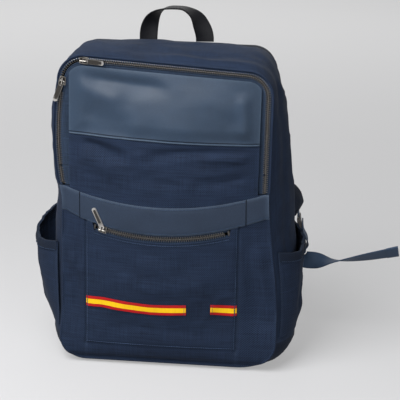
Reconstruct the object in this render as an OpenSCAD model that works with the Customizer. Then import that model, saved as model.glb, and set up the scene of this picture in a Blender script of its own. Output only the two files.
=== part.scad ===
// A soft day pack: zipped U-shaped front flap, zipped front pocket, open side pockets,
// webbing haul handle and padded shoulder straps. The front faces -Y and the base rests on z = 0.

/* [Body] */
// Width between the two upright zip lines of the front
front_w = 272; // [240:1:310]
// Height of the body from the floor to the crown of its top
body_h = 438; // [405:1:480]
// Depth between the front seam and the back seam
body_d = 128; // [110:1:160]
// Swell of each side past its seams
side_swell = 18; // [10:1:26]
// Further swell of the right side, where the load slumps
right_slump = 11; // [0:1:14]
// How far the left shoulder is drawn in below the top
shoulder_draw = 23; // [0:1:24]
// Outward slump of the front's lower right corner
right_flare = 17; // [0:1:24]
// Inward tuck of the front's lower left seam
left_tuck = 4.5; // [0:0.5:6]
// Height of the top's crown above the zip line
top_swell = 13; // [10:0.5:18]
// Height of the front's bottom seam above the floor
base_drop = 11; // [10:0.5:15]
// Radius of the zip line's upper corners
top_corner_r = 28; // [18:1:36]
// Radius of the front's lower corners
base_corner_r = 45; // [30:1:60]
// Crown of the front, forward of its seams
front_crown = 24; // [14:1:32]
// Drop of the zip line towards its right end, where the soft top sinks
top_slant = 12; // [0:1:16]
// Outward bow of the zip line's left upright
left_bow = 6; // [0:0.5:8]
// Thickness of the shell fabric with its backing
fabric_t = 2; // [1.2:0.1:2.4]
// Thickness of the lining
lining_t = 0.8; // [0.5:0.1:1]
// Thickness of the patch under the base
base_patch_t = 1.5; // [1:0.1:2]
// Thickness of the foam back panel
back_t = 8; // [5:0.5:12]
// Crown of the back pad above its edge
back_pad_crown = 11; // [6:0.5:16]
// Depth of the laptop sleeve
sleeve_d = 26; // [20:1:34]
// Height of the laptop sleeve
sleeve_h = 270; // [220:1:320]

/* [Front] */
// Height of the band's top edge at the side seams, where the flap folds
band_z = 254; // [240:1:270]
// Height of the band at the side seams
band_h = 34; // [26:1:40]
// Sag of the band's top edge at the middle
band_dip = 18; // [10:1:22]
// Extra sag of the band's bottom edge at the middle
band_swell = 5; // [0:0.5:8]
// Thickness of the band
band_t = 1.4; // [0.8:0.1:2]
// Height of the seam between the two panels of the flap
flap_seam_z = 328; // [310:1:350]
// Width between the upright seams of the front pocket
pocket_w = 206; // [190:1:230]
// Depth of the front pocket's pouch
pouch_d = 16; // [10:1:20]
// Height of the ribbon's middle
ribbon_z = 91; // [70:1:130]
// Width of the ribbon tape
ribbon_h = 15; // [10:0.5:25]
// Thickness of the ribbon tape
ribbon_t = 0.8; // [0.5:0.1:1.2]
// Left edge of the bare gap in the ribbon
ribbon_gap_x = 36; // [10:1:50]
// Width of the bare gap in the ribbon
ribbon_gap_w = 33; // [10:1:40]

/* [Zips] */
// Spacing of the teeth on one side of a zip
tooth_pitch = 3; // [2.6:0.1:3.6]
// Length of a tooth along the zip
tooth_l = 1.2; // [0.8:0.1:1.3]
// Thickness of the teeth through the tape
tooth_t = 2.4; // [1.8:0.1:2.6]
// How far a tooth reaches past the middle of the chain
tooth_lap = 0.9; // [0.5:0.1:1]
// Half width of the bead that carries the teeth
bead_x = 3.2; // [2.8:0.1:3.4]
// Width of tape that shows beside the chain
tape_w = 9; // [7:0.5:12]
// Gap between the middle of the chain and the top of the flap's panel
flap_top_gap = 6; // [5.5:0.5:9]
// Thickness of the zip tape
tape_t = 0.8; // [0.6:0.1:1]
// Length of main chain that stays closed at each end
zip_end_l = 28; // [24:1:40]
// Distance of the front pocket's zip from the pocket's seams
zip_margin = 15; // [11:1:25]
// Length of a slider
slider_l = 11; // [9:0.5:13]
// Width of a slider
slider_w = 9.4; // [8.8:0.1:10]
// Length of a pull tab
pull_l = 32; // [24:1:36]
// Width of a pull tab
pull_w = 6.4; // [6:0.1:7]
// Thickness of a pull tab
pull_t = 1.6; // [1.2:0.1:2]

/* [Side pockets] */
// Height of a side pocket's mouth at the front seam
mouth_front_z = 172; // [150:1:180]
// Height of a side pocket's mouth at the back seam
mouth_back_z = 205; // [190:1:215]
// Sag of a side pocket's mouth between its seams
mouth_sag = 18; // [8:1:24]
// How far the left side pocket's mouth stands off the side
left_gape = 24; // [14:1:30]
// How far the right side pocket's mouth stands off the side
right_gape = 12; // [9:1:20]

/* [Straps] */
// Width of the webbing
webbing_w = 25; // [20:1:30]
// Thickness of the webbing
webbing_t = 1.8; // [1.2:0.1:2.5]
// Spacing of the haul handle's two legs
handle_w = 79; // [60:1:100]
// Rise of the haul handle above its seam
handle_h = 46; // [40:1:70]
// Width of a shoulder strap
strap_w = 62; // [50:1:70]
// Thickness of a shoulder strap
strap_t = 13; // [9:0.5:16]
// Distance of each shoulder strap's top from the middle of the back
strap_top_x = 46; // [36:1:60]
// Thickness of the strap buckles
buckle_t = 5; // [4:0.5:6]

/* [Hidden] */
$fn = 32;

// Colours
navy = [0.13, 0.17, 0.25];
navy_dark = [0.08, 0.1, 0.15];
leather_blue = [0.3, 0.35, 0.42];
band_blue = [0.2, 0.24, 0.3];
webbing_black = [0.06, 0.07, 0.1];
gunmetal = [0.36, 0.36, 0.38];
lining_grey = [0.3, 0.31, 0.34];
ribbon_red = [0.72, 0.1, 0.12];

// Front seam and zip line
hx = front_w / 2;
yf = -body_d / 2;
yb = body_d / 2;
zt = body_h - top_swell;
zb = base_drop;
layer_gap = 0.2;
joint_gap = 0.3;
// Distance from the zip line out to the edge of the sides and top
edge_gap = bead_x + fabric_t + 2 * layer_gap;
// Middle of the teeth, with the tape's front face in the plane of the front seam
zip_y = yf + tape_t / 2;
// The front's panels lie on the edge of the sides, top and base
shell_lift = fabric_t + layer_gap;

// How far each part of the shell swells past its seam
crown_power = 2.6;
front_power = 3;
base_flatness = 1.6;
// Shares of the depth at which the shell has its rows of points
depths = [0, 0.0125, 0.05, 0.12, 0.2, 0.35, 0.5, 0.65, 0.8, 0.88, 0.95, 1];
function clamp(v) = max(0, min(1, v));
function smooth(v) = let (k = clamp(v)) k * k * (3 - 2 * k);
// Swell of the left or right side at a height: each shoulder is drawn in, and the right side slumps below it
shoulder_z = zt - 83;
shoulder_run = 50;
slump_z = zt - 74;
slump_run = 114;
right_draw = 15;
right_draw_run = 58;
function side_swell_at(nx, z) =
  nx < 0 ? side_swell - shoulder_draw * smooth((z - shoulder_z) / shoulder_run)
         : side_swell + right_slump * clamp((slump_z - z) / slump_run)
           - right_draw * clamp((z - slump_z) / right_draw_run);
function swell_share(v) = 1 - pow(abs(2 * v - 1), crown_power);
function swell(nx, nz, v, z) =
  side_swell_at(nx, z) * nx * nx * swell_share(v)
  + (nz > 0 ? (top_swell - edge_gap) * nz * nz * swell_share(v)
            : (base_drop - edge_gap - base_patch_t) * nz * nz * min(1, base_flatness * swell_share(v)));

// Front surface: its crown over the width and height
function crown(x, z) =
  front_crown * max(0, 1 - pow(x / hx, 2)) * max(0, 1 - pow(abs(2 * (z - zb) / (zt - zb) - 1), front_power));
function front_y(x, z) = yf - crown(x, z);

// Top and bottom of the front outline at x, moved in by inset
function corner_drop(x, r, inset) =
  let (a = abs(x) - (hx - r))
  a <= 0 ? r - inset : sqrt(max(0, pow(r - inset, 2) - a * a));
function rim_top(x, inset) = zt - top_corner_r + corner_drop(x, top_corner_r, inset);
function rim_base(x, inset) = zb + base_corner_r - corner_drop(x, base_corner_r, inset);

// Edges on the front
function band_sag(x) = max(0, 1 - pow(x / hx, 2));
function band_top(x) = band_z - band_dip * band_sag(x);
function band_base(x) = band_z - band_h - (band_dip + band_swell) * band_sag(x);
pocket_zip_drop = 6;
function pocket_zip_z(x) = band_base(x) - pocket_zip_drop;
band_seam = 2;

// Flap
flap_inset = tape_w;
flap_hx = hx - flap_inset;

// Soft set of the body: the left zip line bows out, the front of the top sinks towards the right, the lower
// right corner slumps out and the lower left seam tucks in
run_top = zt - top_corner_r;
run_mid = (run_top + band_z) / 2;
run_half = (run_top - band_z) / 2;
function left_share(x) = clamp((-x - flap_hx) / (flap_inset - bead_x - 1));
function bow(x, z) = left_bow * left_share(x) * max(0, 1 - pow((z - run_mid) / run_half, 2));
function sink(x, z) =
  top_slant * clamp((x + hx - top_corner_r) / (2 * (hx - top_corner_r)))
  * clamp((z - band_z) / (run_top - band_z));
flare_x = pocket_w / 2 - 8;
flare_w = hx + edge_gap - flare_x;
flare_z = band_z + 11;
flare_h = 200;
function flare(x, z) = right_flare * smooth((x - flare_x) / flare_w) * smooth((flare_z - z) / flare_h);
tuck_x = pocket_w / 2 + 2;
tuck_w = hx - tuck_x;
tuck_z = band_z + 10;
tuck_h = 30;
function tuck(x, z) = left_tuck * smooth((-x - tuck_x) / tuck_w) * smooth((tuck_z - z) / tuck_h);
function settle(p) =
  let (k = clamp((yb - p[1]) / body_d))
  [p[0] - k * bow(p[0], p[2]) + sqrt(k) * flare(p[0], p[2]) + k * tuck(p[0], p[2]), p[1],
   p[2] - k * sink(p[0], p[2])];

// Rim of the sides, top and base, as [x, z, outward x, outward z]
arc_steps = 8;
function arc_rim(cx, cz, r, a) = [cx + r * cos(a), cz + r * sin(a), cos(a), sin(a)];
slump_steps = 4;
bow_steps = 6;
run_low = zb + base_corner_r;
side_zs = concat([for (i = [0 : slump_steps - 1]) run_low + (band_z - run_low) * i / slump_steps],
                 [for (i = [0 : bow_steps]) band_z + 2 * run_half * i / bow_steps]);
function side_rim(s) =
  let (n = len(side_zs) - 1) [for (i = [0 : n]) [s * hx, side_zs[s < 0 ? i : n - i], s, 0]];
function distinct(list) =
  [for (i = [0 : len(list) - 1]) if (i == 0 || norm(list[i] - list[i - 1]) > layer_gap) list[i]];
function top_arc(s, from, to) =
  [for (i = [0 : arc_steps])
    arc_rim(s * (hx - top_corner_r), zt - top_corner_r, top_corner_r, from + (to - from) * i / arc_steps)];
function base_arc(s, from, to) =
  [for (i = [0 : arc_steps])
    arc_rim(s * (hx - base_corner_r), zb + base_corner_r, base_corner_r, from + (to - from) * i / arc_steps)];
top_rim = concat(top_arc(-1, 180, 90), top_arc(1, 90, 0));
base_rim = concat(base_arc(1, 0, -90), base_arc(-1, -90, -180));
function gusset_point(rim, v, inside) =
  let (out = edge_gap + swell(rim[2], rim[3], v, rim[1]) - inside)
  settle([rim[0] + rim[2] * out, yf + v * body_d, rim[1] + rim[3] * out]);
function gusset_grid(rims, vs, inside) = [for (r = rims) [for (v = vs) gusset_point(r, v, inside)]];

// A sheet between two grids of points; the first grid is the face that looks along di x dj
function flat_list(g) = [for (row = g) for (p = row) p];
module sheet(outer, inner) {
  m = len(outer);
  n = len(outer[0]);
  function p(i, j) = i * n + j;
  function q(i, j) = m * n + i * n + j;
  skins = [for (i = [0 : m - 2]) for (j = [0 : n - 2]) each [
    [p(i, j), p(i, j + 1), p(i + 1, j + 1)], [p(i, j), p(i + 1, j + 1), p(i + 1, j)],
    [q(i, j), q(i + 1, j + 1), q(i, j + 1)], [q(i, j), q(i + 1, j), q(i + 1, j + 1)]]];
  long_edges = [for (i = [0 : m - 2]) each [
    [p(i, 0), p(i + 1, 0), q(i + 1, 0)], [p(i, 0), q(i + 1, 0), q(i, 0)],
    [p(i + 1, n - 1), p(i, n - 1), q(i, n - 1)], [p(i + 1, n - 1), q(i, n - 1), q(i + 1, n - 1)]]];
  short_edges = [for (j = [0 : n - 2]) each [
    [p(0, j + 1), p(0, j), q(0, j)], [p(0, j + 1), q(0, j), q(0, j + 1)],
    [p(m - 1, j), p(m - 1, j + 1), q(m - 1, j + 1)], [p(m - 1, j), q(m - 1, j + 1), q(m - 1, j)]]];
  polyhedron(concat(flat_list(outer), flat_list(inner)), concat(skins, long_edges, short_edges));
}

// A patch of the front between two edges, lifted off the front surface
columns = 24;
function wide_columns(half) = [for (i = [0 : columns]) half * sin(180 * i / columns - 90)];
function even_columns(from, to, n) = [for (i = [0 : n]) from + (to - from) * i / n];
function patch_grid(xs, low, high, rows, lift) =
  [for (x = xs) [for (j = [0 : rows])
    let (z = low(x) + (high(x) - low(x)) * j / rows) settle([x, front_y(x, z) - lift(x, j / rows), z])]];
module front_patch(xs, low, high, rows, lift, t) {
  sheet(patch_grid(xs, low, high, rows, function(x, w) lift),
        patch_grid(xs, low, high, rows, function(x, w) lift - t));
}

// A smooth route through a few points
function blend_point(a, b, c, d, t) =
  0.5 * (2 * b + (c - a) * t + (2 * a - 5 * b + 4 * c - d) * t * t + (3 * b - a - 3 * c + d) * t * t * t);
function route(points, steps) =
  let (n = len(points) - 1)
  [for (i = [0 : n - 1]) for (k = [0 : (i == n - 1 ? steps : steps - 1)])
    blend_point(points[max(i - 1, 0)], points[i], points[i + 1], points[min(i + 2, n)], k / steps)];
function unit(v) = v / norm(v);
function along(path, i) = unit(path[min(i + 1, len(path) - 1)] - path[max(i - 1, 0)]);
function across(path, i, side) = let (t = along(path, i)) unit(side - t * (side * t));

// Flat or padded strip along a route; sides give the direction of its width at each point
strip_columns = [-1, -0.85, -0.45, 0, 0.45, 0.85, 1];
module strip(path, sides, w, t, edge_t) {
  us = edge_t == t ? [-1, 1] : strip_columns;
  function half(u) = edge_t / 2 + (t - edge_t) / 2 * sqrt(1 - u * u);
  function face(s) = [for (i = [0 : len(path) - 1])
    let (a = across(path, i, sides[i]), n = cross(along(path, i), a))
    [for (u = us) path[i] + a * u * w / 2 + n * s * half(u)]];
  sheet(face(1), face(-1));
}

// Back, sides, top and base
module rounded_outline(grow) {
  w = hx + grow;
  square_w = 2 * w;
  top = zt + grow;
  low = zb - grow;
  r_top = top_corner_r + grow;
  r_low = base_corner_r + grow;
  translate([-w, low + r_low]) square([square_w, top - low - r_top - r_low]);
  translate([r_top - w, top - 2 * r_top]) square([square_w - 2 * r_top, 2 * r_top]);
  translate([r_low - w, low]) square([square_w - 2 * r_low, 2 * r_low]);
  for (s = [-1, 1]) {
    translate([s * (w - r_top), top - r_top]) circle(r_top);
    translate([s * (w - r_low), low + r_low]) circle(r_low);
  }
}

module back_panel() {
  color(navy_dark)
  translate([0, yb + back_t, 0]) rotate([90, 0, 0]) linear_extrude(back_t) rounded_outline(edge_gap);
}

// Back pad, crowned, with sewn channels
pad_hx = 112;
pad_top = zt - 40;
pad_low = zb + 45;
pad_edge_t = 2;
pad_channels = 3;
channel_depth = 0.55;
channel_power = 6;
pad_columns = 16;
pad_rows = 24;
module back_pad() {
  function at(u, w, lift) =
    [u * pad_hx, yb + back_t + lift, (pad_top + pad_low) / 2 + w * (pad_top - pad_low) / 2];
  function hump(u) = 1 - channel_depth * pow(abs(cos(pad_channels * 90 * (u + 1))), channel_power);
  function crowned(u, w) =
    pad_edge_t + back_pad_crown * sqrt(max(0, 1 - pow(u, 4)) * max(0, 1 - pow(w, 4))) * hump(u);
  us = [for (i = [0 : pad_columns]) 1 - 2 * i / pad_columns];
  ws = [for (j = [0 : pad_rows]) 2 * j / pad_rows - 1];
  color(navy_dark) sheet([for (u = us) [for (w = ws) at(u, w, crowned(u, w))]],
                         [for (u = us) [for (w = ws) at(u, w, 0)]]);
}

module gusset(rims) {
  sheet(gusset_grid(rims, depths, 0), gusset_grid(rims, depths, fabric_t));
}

module side_panel(s) {
  color(navy) gusset(side_rim(s));
}

module top_panel() {
  color(navy) gusset(top_rim);
}

module base_panel() {
  color(navy_dark) gusset(base_rim);
}

// The flat of the base is as wide as its rows of points at full drop
base_flat_d = body_d * (depths[8] - depths[4]);
base_patch_r = 12;
module base_patch() {
  x = hx - base_corner_r - base_patch_r;
  y = base_flat_d / 2 - base_patch_r;
  color(navy_dark)
  linear_extrude(base_patch_t) {
    square([2 * (x + base_patch_r), 2 * y], center = true);
    square([2 * x, 2 * (y + base_patch_r)], center = true);
    for (sx = [-1, 1]) for (sy = [-1, 1]) translate([sx * x, sy * y]) circle(base_patch_r);
  }
}

// Lining all round the inside of the shell, closed by a narrow gap at the middle of the base
lining_from = 3;
lining_to = 10;
module main_lining() {
  half_gap = 0.5;
  vs = [for (i = [lining_from : lining_to]) depths[i]];
  loop = concat([[-half_gap, zb, 0, -1]], base_arc(-1, -90, -180), side_rim(-1), top_rim, side_rim(1),
                base_arc(1, 0, -90), [[half_gap, zb, 0, -1]]);
  rims = distinct(loop);
  inside = fabric_t + layer_gap;
  color(lining_grey) sheet(gusset_grid(rims, vs, inside), gusset_grid(rims, vs, inside + lining_t));
}

// Padded sleeve on the inside of the back, open at its top
sleeve_hx = 122;
sleeve_wall = 3;
sleeve_lift = 16;
module laptop_sleeve() {
  color(lining_grey)
  translate([0, yb - sleeve_d, zb + sleeve_lift])
  difference() {
    translate([-sleeve_hx, 0, 0]) cube([2 * sleeve_hx, sleeve_d, sleeve_h]);
    translate([sleeve_wall - sleeve_hx, sleeve_wall, sleeve_wall])
      cube([2 * (sleeve_hx - sleeve_wall), sleeve_d, sleeve_h]);
  }
}

// Front below the flap
yoke_rows = 3;
lower_rows = 14;
pocket_columns = 16;
module front_yoke() {
  color(navy)
  front_patch(wide_columns(hx + edge_gap), function(x) band_base(x) + band_seam,
              function(x) band_z - joint_gap, yoke_rows, shell_lift, fabric_t);
}

module front_band() {
  color(band_blue)
  front_patch(wide_columns(hx + edge_gap), function(x) band_base(x), function(x) band_top(x), yoke_rows,
              shell_lift + layer_gap + band_t, band_t);
}

lower_columns = 8;
module lower_front(s) {
  x0 = s < 0 ? -hx - edge_gap : pocket_w / 2;
  x1 = s < 0 ? -pocket_w / 2 : hx + edge_gap;
  color(navy)
  front_patch(even_columns(x0, x1, lower_columns), function(x) rim_base(x, -edge_gap),
              function(x) band_base(x) + band_seam, lower_rows, shell_lift, fabric_t);
}

module front_pocket_panel() {
  color(navy)
  front_patch(even_columns(-pocket_w / 2, pocket_w / 2, pocket_columns), function(x) rim_base(x, -edge_gap),
              function(x) pocket_zip_z(x) - slider_w / 2 - 2 * joint_gap, lower_rows, shell_lift, fabric_t);
}

// Pouch behind the front pocket panel, sewn to it along its edges
pouch_hx = 98;
pouch_low = 40;
pouch_t = 1;
pouch_power = 4;
pouch_columns = 14;
pouch_rows = 12;
module front_pocket_pouch() {
  xs = even_columns(-pouch_hx, pouch_hx, pouch_columns);
  low = function(x) pouch_low;
  high = function(x) pocket_zip_z(x) - slider_w;
  function fullness(u) = max(0, 1 - pow(abs(u), pouch_power));
  function dish(x, w) = tape_t + layer_gap + pouch_d * fullness(x / pouch_hx) * fullness(2 * w - 1);
  color(lining_grey)
  sheet(patch_grid(xs, low, high, pouch_rows, function(x, w) -dish(x, w)),
        patch_grid(xs, low, high, pouch_rows, function(x, w) -dish(x, w) - pouch_t));
}

module ribbon() {
  ends = [[-pocket_w / 2, ribbon_gap_x, 12], [ribbon_gap_x + ribbon_gap_w, pocket_w / 2, 4]];
  color(ribbon_red)
  for (e = ends)
    front_patch(even_columns(e[0], e[1], e[2]), function(x) ribbon_z - ribbon_h / 2,
                function(x) ribbon_z + ribbon_h / 2, 1, shell_lift + layer_gap + ribbon_t, ribbon_t);
}

// Main zip: a U in the plane of the front seam, up the left, over the top and down the right
side_run = run_top - band_z;
arc_run = PI / 2 * top_corner_r;
top_run = 2 * (hx - top_corner_r);
zip_run = 2 * side_run + 2 * arc_run + top_run;
function half_u(s, inset) =
  s < side_run ? [inset - hx, band_z + s]
  : s < side_run + arc_run
    ? let (a = (s - side_run) / arc_run * 90)
      [top_corner_r - hx - (top_corner_r - inset) * cos(a), run_top + (top_corner_r - inset) * sin(a)]
    : [top_corner_r - hx + s - side_run - arc_run, zt - inset];
function flat_u(s, inset) =
  s <= zip_run / 2 ? half_u(s, inset) : let (m = half_u(zip_run - s, inset)) [-m[0], m[1]];
function u_point(s, inset) = let (m = flat_u(s, inset), p = settle([m[0], yf, m[1]])) [p[0], p[2]];

// Where the two main sliders are parked, and the stretch of flap-side zip left clear for them
slider_a_s = side_run + arc_run;
slider_b_s = side_run;
slider_clear = slider_l / 2 + 2;
pull_clear = 14;

// One row of teeth on its bead from s0 to s1; side is 1 for the flap's row and -1 for the body's
bead_w = 1.2;
module tooth_row(s0, s1, side) {
  first = ceil((s0 + tooth_l) / tooth_pitch);
  last = floor((s1 - tooth_l) / tooth_pitch);
  phase = side > 0 ? 0 : tooth_pitch / 2;
  tips = [for (i = [first : last])
    let (s = i * tooth_pitch + phase)
    if (s + tooth_l / 2 < s1)
    each [u_point(s - tooth_l / 2, side * (bead_x - bead_w)), u_point(s - tooth_l / 2, -side * tooth_lap),
          u_point(s + tooth_l / 2, -side * tooth_lap), u_point(s + tooth_l / 2, side * (bead_x - bead_w))]];
  back_steps = max(2, ceil((s1 - s0) / (2 * tooth_pitch)));
  bead = [for (k = [back_steps : -1 : 0]) u_point(s0 + (s1 - s0) * k / back_steps, side * bead_x)];
  ends = [u_point(s0, side * (bead_x - bead_w)), u_point(s1, side * (bead_x - bead_w))];
  translate([0, zip_y + tooth_t / 2, 0]) rotate([90, 0, 0]) linear_extrude(tooth_t)
    polygon(concat([ends[0]], tips, [ends[1]], bead));
}

// A flat strip of tape along the U between two insets
module u_tape(s0, s1, inner, outer) {
  steps = max(2, ceil((s1 - s0) / (2 * tooth_pitch)));
  ss = [for (k = [0 : steps]) s0 + (s1 - s0) * k / steps];
  back = [for (k = [steps : -1 : 0]) ss[k]];
  translate([0, zip_y + tape_t / 2, 0]) rotate([90, 0, 0]) linear_extrude(tape_t)
    polygon(concat([for (s = ss) u_point(s, inner)], [for (s = back) u_point(s, outer)]));
}

// Stretches of the flap's side of the zip: below the parked sliders, and from them round to the right end
flap_runs = [[zip_end_l, slider_b_s - pull_clear], [slider_a_s + slider_clear, zip_run - zip_end_l]];
end_runs = [[joint_gap, zip_end_l - 2 * joint_gap],
            [zip_run - zip_end_l + 2 * joint_gap, zip_run - joint_gap]];
tape_back = tape_w + 3;

module main_zip_teeth_flap() {
  color(gunmetal) for (r = flap_runs) tooth_row(r[0], r[1], 1);
}

module main_zip_tape_flap() {
  color(navy_dark) for (r = flap_runs) u_tape(r[0], r[1], bead_x, tape_back);
}

module main_zip_teeth_body() {
  color(gunmetal) tooth_row(joint_gap, zip_run - joint_gap, -1);
}

// Body-side tape, turned back along the inside of the sides and top
module main_zip_tape_body() {
  vs = [depths[1], depths[2], depths[3]];
  function upper(rims) = [for (r = rims) if (r[1] >= band_z) r];
  rims = distinct(concat(upper(side_rim(-1)), top_rim, upper(side_rim(1))));
  inside = fabric_t + layer_gap;
  color(navy_dark) sheet(gusset_grid(rims, vs, inside), gusset_grid(rims, vs, inside + tape_t));
}

// The last teeth at each end stay closed, on a short tape of their own
module main_zip_ends() {
  color(gunmetal) for (r = end_runs) tooth_row(r[0], r[1], 1);
}

module main_zip_end_tapes() {
  color(navy_dark) for (r = end_runs) u_tape(r[0], r[1], bead_x, flap_inset - 2 * joint_gap);
}

// Flap: upper panel, lower panel, welt over their seam, and lining
upper_rows = 8;
fold_rows = 5;
module flap_leather_panel() {
  color(leather_blue)
  front_patch(wide_columns(flap_hx), function(x) flap_seam_z, function(x) rim_top(x, flap_top_gap),
              upper_rows, shell_lift, fabric_t);
}

module flap_fabric_panel() {
  color(navy)
  front_patch(wide_columns(flap_hx), function(x) band_z + joint_gap, function(x) flap_seam_z, fold_rows,
              shell_lift, fabric_t);
}

welt_h = 4;
welt_t = 1;
module flap_seam_welt() {
  color(leather_blue)
  front_patch(wide_columns(flap_hx), function(x) flap_seam_z, function(x) flap_seam_z + welt_h, 1,
              shell_lift + layer_gap + welt_t, welt_t);
}

// The lining stops short of the zip's tape
lining_inset = tape_back + 1;
module flap_lining() {
  color(lining_grey)
  front_patch(wide_columns(hx - lining_inset), function(x) band_z + joint_gap,
              function(x) rim_top(x, lining_inset), upper_rows + fold_rows, -layer_gap, lining_t);
}

// Slider: chain along X, outward along -Y, mid-plane of the teeth at y = 0
slider_plate_t = 1.2;
lip_t = 1;
bar_r = 0.9;
bar_rise = 3.5;
post_l = 1.4;
post_w = 1.2;
post_x = 3.4;
nose_taper = 1.2;
under_y = tooth_t / 2 + joint_gap;
plate_y = under_y + slider_plate_t;
bar_y = plate_y + bar_rise;
module slider() {
  l = slider_l / 2;
  w = slider_w / 2;
  color(gunmetal)
  union() {
    translate([0, -under_y, 0]) rotate([90, 0, 0]) linear_extrude(slider_plate_t)
      polygon([[-l, nose_taper - w], [-l, w - nose_taper], [0, w], [l, w], [l, -w], [0, -w]]);
    for (s = [-1, 1])
      translate([l / 2, -under_y / 2 - tape_t / 2, s * (w - lip_t / 2)])
        cube([l, under_y - tape_t + joint_gap, lip_t], center = true);
    for (s = [-1, 1])
      translate([s * post_x, -plate_y - bar_rise / 2, 0])
        cube([post_l, bar_rise + joint_gap, post_w], center = true);
    translate([-post_x - post_l / 2, -bar_y, 0])
      rotate([0, 90, 0]) cylinder(r = bar_r, h = 2 * post_x + post_l);
  }
}

// Pull tab along -X from its eye, with a shallow panel on its face
recess_t = 0.3;
recess_margin = 1.4;
module pull_tab(length) {
  r = pull_w / 2;
  difference() {
    union() {
      translate([-length + r, -pull_t / 2, -r]) cube([length - 2 * r, pull_t, pull_w]);
      translate([-length + r, pull_t / 2, 0]) rotate([90, 0, 0]) cylinder(r = r, h = pull_t);
      translate([-r, pull_t / 2, 0]) rotate([90, 0, 0]) cylinder(r = r, h = pull_t);
    }
    translate([-length + r, -pull_t / 2 - recess_t, recess_margin - r])
      cube([length - 4 * r, 2 * recess_t, pull_w - 2 * recess_margin]);
  }
}

// Pull of a main slider: a pin under the slider's bar, two arms and the tab
pin_r = 0.8;
pin_y = plate_y + bar_rise / 2 - joint_gap;
arm_z = pull_w / 2 - pin_r;
arm_l = 9;
module pin_pull() {
  color(gunmetal)
  union() {
    translate([0, 0, -arm_z - pin_r]) cylinder(r = pin_r, h = 2 * (arm_z + pin_r));
    for (s = [-1, 1]) {
      translate([-arm_l, -pin_r, s * (arm_z + pin_r / 2) - pin_r / 2]) cube([arm_l, 2 * pin_r, pin_r]);
      translate([0, 0, s * (arm_z + pin_r / 2) - pin_r / 2]) cylinder(r = pin_r, h = pin_r);
    }
    translate([-arm_l + pull_w / 2, 0, 0]) pull_tab(pull_l - arm_l);
  }
}

slider_a_x = top_corner_r - hx;
slant_angle = atan(top_slant / top_run);
bow_angle = atan(2 * left_bow / run_half);
pull_a_turn = 180;
pull_b_turn = 20;
// Each pull rests a little proud of the front that swells under it
pull_a_tilt = 10;
pull_b_tilt = 6;

module main_slider_a() {
  translate([slider_a_x, zip_y, zt]) rotate([0, slant_angle, 0]) slider();
}

module main_pull_a() {
  translate([slider_a_x, zip_y - pin_y, zt])
    rotate([0, pull_a_turn + slant_angle, 0]) rotate([0, 0, pull_a_tilt]) pin_pull();
}

module main_slider_b() {
  translate([-hx, zip_y, run_top]) rotate([0, 90 + bow_angle, 0]) slider();
}

module main_pull_b() {
  translate([-hx, zip_y - pin_y, run_top])
    rotate([0, pull_b_turn - 90, 0]) rotate([0, 0, pull_b_tilt]) pin_pull();
}

// Front pocket zip: it follows the sag of the band and the crown of the front on one wide arc
sag_y = front_crown / (hx * hx);
sag_z = (band_dip + band_swell) / (hx * hx);
sag = norm([sag_y, sag_z]);
half_zip = pocket_w / 2 - zip_margin;
arc_rise = sag * half_zip * half_zip;
arc_r = (half_zip * half_zip + arc_rise * arc_rise) / (2 * arc_rise);
arc_axis = [0, -sag_z, sag_y] / sag;
arc_low = [0, front_y(0, pocket_zip_z(0)) + tape_t / 2, pocket_zip_z(0)];
arc_centre = arc_low + arc_r * [0, sag_y, sag_z] / sag;
zip_half_angle = asin(half_zip / arc_r);
slider_park = 9;
pocket_slider_x = slider_park - half_zip;
pocket_slider_angle = asin(pocket_slider_x / arc_r);

module on_pocket_zip(angle) {
  translate(arc_centre) rotate(a = angle, v = arc_axis) translate(arc_low - arc_centre) children();
}

module pocket_teeth(side) {
  step = tooth_pitch / arc_r * 180 / PI;
  n = floor(zip_half_angle / step);
  phase = side > 0 ? 0 : step / 2;
  color(gunmetal)
  for (i = [-n : n - 1])
    on_pocket_zip(i * step + phase)
      translate([-tooth_l / 2, -tooth_t / 2, side > 0 ? -tooth_lap : -bead_x])
        cube([tooth_l, tooth_t, bead_x + tooth_lap]);
}

zip_tape_h = 12;
module pocket_zip_tape(side) {
  xs = even_columns(-half_zip, half_zip, pocket_columns);
  near = bead_x + layer_gap;
  low = side > 0 ? function(x) pocket_zip_z(x) + near : function(x) pocket_zip_z(x) - zip_tape_h;
  high = side > 0 ? function(x) pocket_zip_z(x) + zip_tape_h : function(x) pocket_zip_z(x) - near;
  color(navy_dark) front_patch(xs, low, high, 1, 0, tape_t);
}

stop_l = 2.4;
module pocket_zip_stops() {
  color(gunmetal)
  for (s = [-1, 1])
    on_pocket_zip(s * (zip_half_angle + stop_l / arc_r * 180 / PI))
      translate([-stop_l / 2, -tooth_t / 2, -bead_x]) cube([stop_l, tooth_t, 2 * bead_x]);
}

module pocket_slider() {
  on_pocket_zip(pocket_slider_angle) slider();
}

// Ring round the slider's bar, and a tab on the ring that leans back on the band
ring_r = 2.7;
ring_wire_r = 0.6;
ring_off = 1;
tab_turn = 38;
tab_lean = 1;
module on_pocket_bar() {
  on_pocket_zip(pocket_slider_angle) translate([0, -bar_y, 0]) rotate([-tab_lean, 0, 0]) children();
}

module pocket_pull_ring() {
  color(gunmetal)
  on_pocket_bar() translate([0, 0, ring_off]) rotate([0, 90, 0]) rotate_extrude() translate([ring_r, 0])
    circle(ring_wire_r);
}

eye_r = 1.3;
eye_play = 0.5;
module pocket_pull_tab() {
  eye_z = ring_off + ring_r + eye_play;
  color(gunmetal)
  on_pocket_bar() translate([0, 0, eye_z]) rotate([0, 90 - tab_turn, 0])
    difference() {
      translate([pull_w / 2, 0, 0]) pull_tab(pull_l);
      rotate([90, 0, 0]) cylinder(r = eye_r, h = 2 * pull_t, center = true);
    }
}

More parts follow.
